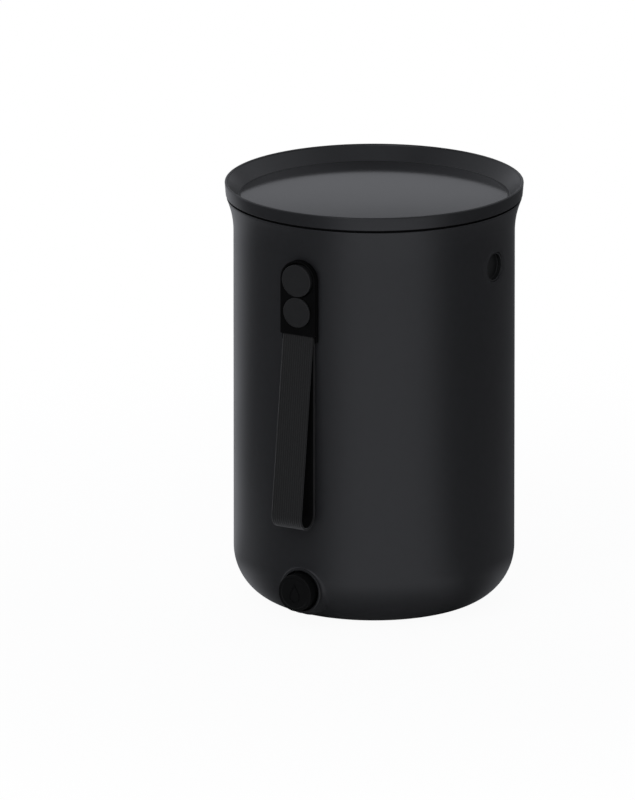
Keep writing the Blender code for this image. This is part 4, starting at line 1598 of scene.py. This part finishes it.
@dataclass
class StrapFittings:
    """The strap's two plates, and its studs with their plugs."""

    pitch: float = 26.2
    plate_width: float = 32.0
    plate: float = 2.6
    anchor_back: float = 113.3
    free_back: float = 116.2
    anchor_foot: float = 50.8
    free_foot: float = 45.2
    arch_gap: float = 0.002
    arch_steps: int = 28
    foot_round: float = 1.2
    foot_steps: int = 5
    hole_sides: int = 96
    edge_round: float = 0.35
    edge_steps: int = 3
    edge_angle: float = 50.0
    lap: float = 10.0
    lap_wall: float = 0.5
    neck: float = 7.0
    neck_gap: float = 0.4
    pin: float = 4.3
    window: float = 14.2
    plug: float = 10.45
    plug_gap: float = 0.65
    anchor_stud: StudSizes = StudSizes(13.2, 109.3, 113.3, 116.2, 121.5, 108.8, 113.0)
    free_stud: StudSizes = StudSizes(12.25, 113.9, 116.2, 119.1, 121.1, 113.6, 115.9)
    crown_share: float = 0.55
    crown_drop: float = 0.03
    shoulder: float = 0.45
    shoulder_drop: float = 0.12
    side_drop: float = 0.6

    def build(self) -> None:
        """Builds the plates, studs and plugs."""
        low = SOCKET_HEIGHT - self.pitch
        self.build_plate(Body.STRAP, self.neck + self.neck_gap, self.plug + self.plug_gap)
        self.build_plate(Body.FREE_END, self.window, self.neck + GAP)
        self.build_stud("anchor", self.anchor_stud, SOCKET_HEIGHT, Body.BIN)
        self.build_stud("free", self.free_stud, low, Body.FREE_END)
        self.build_plug("anchor", self.anchor_stud, SOCKET_HEIGHT, Body.BIN)
        self.build_plug("free", self.free_stud, low, Body.FREE_END)

    def build_plate(self, body: Body, upper: float, lower: float) -> None:
        """Builds a plate: a slab with an arched top, two holes and a lap for the webbing.

        Args:
            body: The body that it moves with, the strap or its free end.
            upper: Radius of its upper hole.
            lower: Radius of its lower hole.
        """
        anchor = body is Body.STRAP
        node = "anchor_plate" if anchor else "free_end_plate"
        back, foot = self.free_back, self.free_foot
        if anchor:
            back, foot = self.anchor_back, self.anchor_foot
        half, face = self.plate_width / 2, back + self.plate
        slab = block(f"{node}_slab", (-half, -foot, back), (half, half, face))
        top, bottom = half * MM - WELD, -foot * MM + WELD
        with editing(slab, Element.EDGE):
            arch, corner = half - self.arch_gap, self.foot_round
            self.round_corners(slab, lambda vert: vert.co.y > top, arch, self.arch_steps)
            self.round_corners(slab, lambda vert: vert.co.y < bottom, corner, self.foot_steps)
        tidy(slab)
        for radius, height in ((upper, 0.0), (lower, -self.pitch)):
            hole = rod("hole", radius, back - OVERRUN, face + OVERRUN, self.hole_sides)
            cut(slab, settle(hole, (0.0, height, 0.0)))
        # The webbing lies in the anchor plate's face and in the free plate's back
        near, far = back - OVERRUN, face - self.lap_wall
        if anchor:
            near, far = back + self.lap_wall, face + OVERRUN
        reach = WEBBING_WIDTH / 2 + GAP
        cut(slab, block("lap", (-reach, -foot - OVERRUN, near), (reach, -foot + self.lap, far)))
        apply(
            slab,
            "BEVEL",
            width=self.edge_round * MM,
            segments=self.edge_steps,
            limit_method="ANGLE",
            angle_limit=math.radians(self.edge_angle),
            harden_normals=True,
        )
        face_out(slab, SOCKET_HEIGHT)
        dress(slab, PLATE_FINISH, body, node)

    def round_corners(
        self, slab: Piece, wanted: Callable[[Vert], bool], radius: float, steps: int
    ) -> None:
        """Rounds the upright corner edges at one end of a slab.

        Args:
            slab: The slab, open in edit mode.
            wanted: The test for the vertices at that end.
            radius: The corners' radius.
            steps: How many faces each corner gets.
        """

        def upright(edge: Edge) -> bool:
            """Whether an edge stands upright in the slab at the wanted end."""
            first, last = edge.verts
            return abs(first.co.z - last.co.z) > WELD and wanted(first) and wanted(last)

        pick(slab, upright, Element.EDGE)
        bpy.ops.mesh.bevel(offset=radius * MM, segments=steps, profile=0.5, affect="EDGES")

    def build_stud(self, side: str, sizes: StudSizes, height: float, body: Body) -> None:
        """Builds a stud: a crowned head, its neck and the pin for its plug.

        Args:
            side: Which stud it is, anchor or free.
            sizes: Its sizes.
            height: Its height.
            body: The body that it moves with.
        """
        head, face = sizes.head, sizes.face
        outline = [
            (0.0, face),
            (head * self.crown_share, face - self.crown_drop),
            (head - self.shoulder, face - self.shoulder_drop, FINE),
            (head, face - self.side_drop, FINE),
            (head, sizes.head_back, EASY),
            (self.neck, sizes.head_back, CRISP),
            (self.neck, sizes.neck_back, CRISP),
            (self.pin, sizes.neck_back),
            (self.pin, sizes.pin_end, SOFT),
            (0.0, sizes.pin_end),
        ]
        stud = face_out(turned(f"{side}_button", outline), height)
        dress(stud, STUD_FINISH, body, f"{side}_stud")

    def build_plug(self, side: str, sizes: StudSizes, height: float, body: Body) -> None:
        """Builds the round plug behind a stud.

        Args:
            side: Which stud's plug it is, anchor or free.
            sizes: The stud's sizes.
            height: Its height.
            body: The body that it moves with.
        """
        ends = (sizes.plug_back, sizes.plug_face)
        section = ring_section(self.pin + GAP, self.plug, *ends, back_round=SOFT)
        plug = face_out(turned(f"{side}_plug_ring", section, closed=True), height)
        dress(plug, FITTING_FINISH, body, f"{side}_plug")


@dataclass
class StrapWebbing:
    """The woven webbing, down along the wall, round its bottom turn and up to the free plate."""

    width: float = WEBBING_WIDTH
    thickness: float = 1.6
    ribs: int = 14
    rib_relief: float = 0.1
    selvedge: float = 0.8
    selvedge_share: float = 0.3
    border: float = 1.0
    inner_out: float = 114.9
    inner_top: float = 248.1
    seam: float = 225.0
    turn_height: float = 97.0
    turn_radius: float = 10.3
    outer_out: float = 117.2
    outer_foot: float = 244.0
    outer_top: float = 253.7
    easing: float = 30.0
    # The give of the bottom turn: the degrees before its end where it starts, and how far above
    # its middle the points lie between which it spreads
    give: float = 50.0
    give_rise: float = 2.0
    columns: int = 112
    row_pitch: float = 4.0
    turn_gap: float = 1.0
    turn_rows: int = 48
    run_rows: int = 30
    easing_rows: int = 6
    top_row: float = 2.4
    root_rows: int = 6
    pick_length: float = 1.1
    crease: float = 60.0

    @property
    def turn_out(self) -> float:
        """Distance of the bottom turn's centre from the axis."""
        return self.inner_out + self.turn_radius

    @property
    def lean(self) -> float:
        """The outer run's lean from upright."""
        across, up = self.turn_out - self.outer_out, self.outer_foot - self.turn_height
        return math.atan2(across, up) + math.asin(self.turn_radius / math.hypot(across, up))

    @property
    def along(self) -> Vector:
        """The outer run's direction, upwards."""
        return Vector((-math.sin(self.lean), math.cos(self.lean)))

    @staticmethod
    def arc(middle: Point, radius: float, start: float, end: float, rows: int) -> list[Point]:
        """Points of an arc, both ends included.

        Args:
            middle: Its centre.
            radius: Its radius.
            start: The turn at which it starts.
            end: The turn at which it ends.
            rows: How many steps it takes.

        Returns:
            The points.
        """
        points = []
        for row in range(rows + 1):
            across, up = polar(radius, start + (end - start) * row / rows)
            points.append((middle[0] + across, middle[1] + up))
        return points

    def centreline(self) -> list[Point]:
        """Points of the webbing's middle as distance out against height, from the seam on."""
        drop = self.seam - self.turn_height - self.turn_gap
        points = [
            (self.inner_out, self.seam - self.row_pitch * row)
            for row in range(math.ceil(drop / self.row_pitch))
        ]
        middle, last = (self.turn_out, self.turn_height), math.tau + self.lean
        points += self.arc(middle, self.turn_radius, math.pi, last, self.turn_rows)
        tangent = self.easing * math.tan(self.lean / 2)
        start = Vector(points[-1])
        foot = Vector((self.outer_out, self.outer_foot)) - self.along * tangent
        run = (foot - start).length
        rows = self.run_rows
        points += [tuple(start + self.along * run * row / rows) for row in range(1, rows + 1)]
        middle = (self.outer_out + self.easing, self.outer_foot + tangent)
        first = math.pi + self.lean
        points += self.arc(middle, self.easing, first, math.pi, self.easing_rows)[1:]
        heights = (self.outer_top - self.top_row, self.outer_top)
        return points + [(self.outer_out, height) for height in heights]

    def strip(self, name: str, line: Sequence[Point], finish: WebbingFinish) -> Piece:
        """Models a length of webbing along a line, ribbed and with rounded selvedges.

        Args:
            name: The piece's name.
            line: Points of its middle, as distance out against height.
            finish: Its weave; the side towards the loop's inside is painted near black instead, as
                painted shade between the runs.

        Returns:
            The webbing as an object.
        """
        rows = len(line) - 1
        add = bpy.ops.mesh.primitive_grid_add
        obj = added(name, add, x_subdivisions=self.columns, y_subdivisions=rows, size=1.0)
        apply(obj, "SOLIDIFY", thickness=MM, offset=0.0)
        # The inner face, but for a border at each edge, gets the painted shade of the loop's
        # inside.
        shade_reach = 0.5 - self.border / self.width
        two_tone(obj, finish, LOOP_SHADE_FINISH, lambda vert: vert.co.z < 0 and abs(vert.co.x) < shade_reach)
        lengths = [0.0]
        for here, there in pairwise(line):
            lengths.append(lengths[-1] + math.dist(here, there))
        for vert in obj.data.vertices:
            across, row = vert.co.x + 0.5, round((vert.co.y + 0.5) * rows)
            before, after = Vector(line[max(row - 1, 0)]), Vector(line[min(row + 1, rows)])
            along = (after - before).normalized()
            side = 1.0 if vert.co.z > 0 else -1.0
            reach = self.half_thickness(across) * side
            out, up = line[row][0] + along.y * reach, line[row][1] - along.x * reach
            vert.co = Vector(((across - 0.5) * self.width, -out, up)) * MM
        for corner in obj.data.uv_layers.active.data:
            corner.uv.y = lengths[round(corner.uv.y * rows)] / lengths[-1]
        tidy(obj)
        shade(obj, self.crease)
        return obj

    def half_thickness(self, across: float) -> float:
        """Half the webbing's thickness at a share of its width, with its ribs and selvedges."""
        edge = min(across, 1 - across) * self.width
        rib = self.rib_relief * (abs(math.sin(math.pi * across * self.ribs)) - 1)
        half = self.thickness / 2 + rib
        if edge < self.selvedge:
            half *= max(math.sqrt(1 - (1 - edge / self.selvedge) ** 2), self.selvedge_share)
        return half

    def build(self) -> None:
        """Builds the strap's webbing and the short end of it in the anchor plate."""
        line = self.centreline()
        length = sum(math.dist(here, there) for here, there in pairwise(line))
        picks = round(length / self.pick_length)
        strap = self.strip("strap_webbing", line, WebbingFinish("black webbing", self.ribs, picks))
        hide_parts("strap_bend", "strap_outer_run")
        self.bend_between(strap)
        rise = self.inner_top - self.seam
        rows = range(self.root_rows + 1)
        line = [(self.inner_out, self.inner_top - rise * row / self.root_rows) for row in rows]
        finish = WebbingFinish("black webbing root", self.ribs, round(rise / self.pick_length))
        root = self.strip("strap_root", line, finish)
        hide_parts("strap_inner_run")
        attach(root, Body.STRAP.value)
        LOG.info("strap_webbing: %.1f mm long, %d cross threads", length, picks)

    def bend_between(self, strap: Piece) -> None:
        """Puts the strap's placement into its mesh."""
        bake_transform(strap)


# Studio and camera


CAMERA_AZIMUTH = 31.2
LIGHT_TINT = (0.92, 0.94, 1.0)
WHITE = (1.0, 1.0, 1.0)


@dataclass(frozen=True)
class Glow:
    """A bright part of the studio room, as a round patch of directions.

    Attributes:
        azimuth: Its middle, in degrees to the right of the camera as seen from the bin.
        elevation: Its middle above level, in degrees.
        inner: Angle within which it is fully bright, in degrees.
        outer: Angle beyond which it gives nothing, in degrees.
        strength: Its brightness, where 1 is white.
    """

    azimuth: float
    elevation: float
    inner: float
    outer: float
    strength: float

    def add_to(self, nodes: Nodes, towards: Socket) -> Socket:
        """Adds the nodes that give its brightness in a direction.

        Args:
            nodes: The node tree.
            towards: The direction, of length 1.

        Returns:
            The brightness.
        """
        middle = direction(CAMERA_AZIMUTH + self.azimuth, self.elevation)
        facing = nodes.add("VectorMath", {0: towards, 1: middle}, operation="DOT_PRODUCT")
        inner, outer = math.cos(math.radians(self.inner)), math.cos(math.radians(self.outer))
        return nodes.ramp(facing.outputs["Value"], (outer, 0.0), (inner, self.strength))


@dataclass(frozen=True)
class Patch:
    """A soft round bright patch on the sweep.

    Attributes:
        azimuth: Its direction, in degrees to the right of the camera as seen from the bin.
        distance: Distance of its middle from the bin's axis, in metres.
        radius: Its radius in metres.
        strength: Its brightness at the middle, where 1 is white.
    """

    azimuth: float
    distance: float
    radius: float
    strength: float

    def add_to(self, nodes: Nodes, place: Socket) -> Socket:
        """Adds the nodes that give its brightness at a place.

        Args:
            nodes: The node tree.
            place: The place on the sweep.

        Returns:
            The brightness.
        """
        middle = direction(CAMERA_AZIMUTH + self.azimuth) * self.distance
        away = nodes.add("VectorMath", {0: place, 1: middle}, operation="DISTANCE")
        return nodes.ramp(away.outputs["Value"], (self.radius, 0.0), (0.0, self.strength))


@dataclass(frozen=True)
class Lamp:
    """A soft rectangular lamp.

    Attributes:
        name: Its name.
        place: Where it stands, in metres.
        target: The point that it faces.
        size: Its width and height in metres.
        power: Its power in watts.
        in_gloss: Whether the gloss shows it.
    """

    name: str
    place: tuple[float, float, float]
    target: tuple[float, float, float]
    size: tuple[float, float]
    power: float
    in_gloss: bool = True

    def build(self) -> None:
        """Adds the lamp."""
        lamp = added(self.name, bpy.ops.object.light_add, type="AREA", location=self.place)
        lamp.data.shape = "RECTANGLE"
        lamp.data.size, lamp.data.size_y = self.size
        lamp.data.energy = self.power
        lamp.data.color = LIGHT_TINT
        lamp.visible_glossy = self.in_gloss
        aim = Vector(self.target) - Vector(self.place)
        lamp.rotation_euler = aim.to_track_quat("-Z", "Y").to_euler()


@dataclass
class Studio:
    """A white sweep under the bin, in a dim room with a few bright parts, and soft lamps.

    The room and the sweep are white to the camera. The bin's gloss shows the sweep's bright
    parts, and the sweep keeps the bin's shadow.
    """

    floor_size: float = 9.0
    floor_depth: float = 0.0002
    floor_grey: float = 0.85
    floor_roughness: float = 0.9
    floor_share: float = 0.95
    shadow_radius: float = 0.3
    white_radius: float = 0.9
    shade_radius: float = 0.08
    open_radius: float = 0.2
    room_level: float = 0.1
    sweep_level: float = 0.112
    room_glows: tuple[Glow, ...] = (
        Glow(180, 26, 10, 60, 0.1),
        Glow(14, 20, 12, 60, 0.3),
        Glow(-118, 35, 12, 55, 0.38),
        Glow(110, 43, 14, 42, 0.48),
        Glow(10, 78, 8, 34, 0.16),
        Glow(-20, 35, 9, 21, 1.0),
    )
    sweep_glows: tuple[Glow, ...] = (
        Glow(-160, 0, 4, 48, 0.5),
        Glow(9, 0, 20, 52, 0.55),
    )
    sweep_patches: tuple[Patch, ...] = (
        Patch(-114, 0.3, 0.24, 0.24),
        Patch(-95, 0.12, 0.1, 0.42),
        Patch(95, 0.12, 0.1, 0.24),
        Patch(5, 0.1, 0.1, 0.05),
    )
    lamps: tuple[Lamp, ...] = (
        Lamp("key_softbox", (0.305, -1.881, 1.27), (0, 0, 0.17), (2.6, 2.0), 32.0, False),
        Lamp("rear_fill", (-0.95, 1.65, 0.75), (0, 0, 0.17), (2.0, 1.0), 26.0, False),
        Lamp("rear_strip", (-0.285, 0.4705, 0.41), (-0.05, 0.1, 0.38), (1.4, 0.16), 0.18),
    )

    def build(self) -> None:
        """Builds the floor, the world and the lamps."""
        self.build_floor()
        self.build_world()
        for lamp in self.lamps:
            lamp.build()

    def brightness(
        self, nodes: Nodes, towards: Socket, glows: Sequence[Glow], level: float
    ) -> Socket:
        """Adds up several glows over a plain level.

        Args:
            nodes: The node tree.
            towards: The direction, of length 1.
            glows: The glows.
            level: The plain level.

        Returns:
            The brightness.
        """
        first, *others = [glow.add_to(nodes, towards) for glow in glows]
        total = nodes.maths("ADD", first, level)
        for other in others:
            total = nodes.maths("ADD", total, other)
        return total

    def build_floor(self) -> None:
        """Builds the white sweep, which hides nothing from below."""
        add, middle = bpy.ops.mesh.primitive_plane_add, (0.0, 0.0, -self.floor_depth)
        floor = added("studio_floor", add, size=self.floor_size, location=middle)
        material, nodes, shader = new_material("white sweep", grey(self.floor_grey))
        matt = {"Roughness": self.floor_roughness, "Specular IOR Level": 0.0}
        nodes.feed(shader, {"Base Color": (*grey(self.floor_grey), 1.0), **matt})
        place = nodes.add("TexCoord").outputs["Object"]
        reach = nodes.add("VectorMath", {0: place}, operation="LENGTH").outputs["Value"]
        towards = nodes.add("VectorMath", {0: place}, operation="NORMALIZE").outputs["Vector"]
        glow = self.brightness(nodes, towards, self.sweep_glows, self.sweep_level)
        # Painted shadow: the sweep's glow fades out close to the bin, where the bin's shadow would
        # dim it in the gloss.
        gloss_shadow_ramp = nodes.ramp(reach, (self.shade_radius, 0.0), (self.open_radius, 1.0))
        glow = nodes.maths("MULTIPLY", glow, gloss_shadow_ramp)
        for patch in self.sweep_patches:
            glow = nodes.maths("ADD", glow, patch.add_to(nodes, place))
        rays = nodes.add("LightPath").outputs
        seen = camera = rays["Is Camera Ray"]
        for ray in ("Is Glossy Ray", "Is Transmission Ray"):
            seen = nodes.maths("MAXIMUM", seen, rays[ray])
        fading = nodes.ramp(reach, (self.shadow_radius, self.floor_share), (self.white_radius, 1.0))
        share = nodes.maths("MULTIPLY", seen, fading)
        hue, level = nodes.blended(camera, LIGHT_TINT, WHITE), nodes.maths("MAXIMUM", glow, camera)
        white = nodes.add("Emission", {"Color": hue, "Strength": level}).outputs[0]
        pale = nodes.add("MixShader", {0: share, 1: shader.outputs[0], 2: white}).outputs[0]
        clear = nodes.add("BsdfTransparent").outputs[0]
        back = nodes.add("NewGeometry").outputs["Backfacing"]
        both = nodes.add("MixShader", {0: back, 1: pale, 2: clear}).outputs[0]
        nodes.feed(nodes.tree.nodes["Material Output"], {"Surface": both})
        floor.data.materials.append(material)

    def build_world(self) -> None:
        """Builds the room: white to the camera, dim with a few glows to everything else."""
        world = bpy.data.worlds.new("studio")
        bpy.context.scene.world = world
        world.use_nodes = True
        nodes = Nodes(world.node_tree)
        towards = nodes.add("TexCoord").outputs["Generated"]
        glow = self.brightness(nodes, towards, self.room_glows, self.room_level)
        inputs = {"Color": (*LIGHT_TINT, 1.0), "Strength": glow}
        room = nodes.feed(nodes.tree.nodes["Background"], inputs).outputs[0]
        white = nodes.add("Background", {"Color": (*WHITE, 1.0), "Strength": 1.0}).outputs[0]
        camera = nodes.add("LightPath").outputs["Is Camera Ray"]
        both = nodes.add("MixShader", {0: camera, 1: room, 2: white}).outputs[0]
        nodes.feed(nodes.tree.nodes["World Output"], {"Surface": both})


@dataclass
class PhotoCamera:
    """The photograph's long-lens view: from the right of the strap and a little above."""

    azimuth: float = CAMERA_AZIMUTH
    elevation: float = 15.0
    distance: float = 22.0
    view_height: float = 0.6432
    aim_height: float = 0.1632
    aim_left: float = 0.0455
    sensor: float = 36.0

    def build(self) -> None:
        """Places the camera and makes it the scene's."""
        back = direction(self.azimuth, self.elevation)
        left = direction(self.azimuth - 90.0)
        place = Vector((0.0, 0.0, self.aim_height)) + left * self.aim_left + back * self.distance
        camera = added("photo_camera", bpy.ops.object.camera_add, location=place)
        camera.rotation_euler = (-back).to_track_quat("-Z", "Y").to_euler()
        camera.data.sensor_width = self.sensor
        camera.data.lens = self.sensor * self.distance / self.view_height
        camera.data.clip_end = 2 * self.distance
        bpy.context.scene.camera = camera


class SubAssembly(Protocol):
    """What each of the bin's sub-assemblies can do."""

    def build(self) -> None:
        """Builds its pieces and dresses them."""


@dataclass
class BokashiBin:
    """The whole bin, as its sub-assemblies in the order that they are built."""

    parts: list[SubAssembly] = field(
        default_factory=lambda: [
            Shell(),
            SocketCups(),
            Lid(),
            Strainer(),
            Tap(),
            StrapFittings(),
            StrapWebbing(),
        ]
    )

    def build(self) -> None:
        """Builds every sub-assembly."""
        for part in self.parts:
            LOG.info("building %s", type(part).__name__)
            part.build()


def main() -> None:
    """Loads the frame, builds the camera, the studio and the bin."""
    logging.basicConfig(level=logging.INFO, format="%(name)s: %(message)s")
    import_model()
    bpy.context.scene.view_settings.view_transform = "Standard"
    PhotoCamera().build()
    Studio().build()
    BokashiBin().build()


if __name__ == "__main__":
    main()
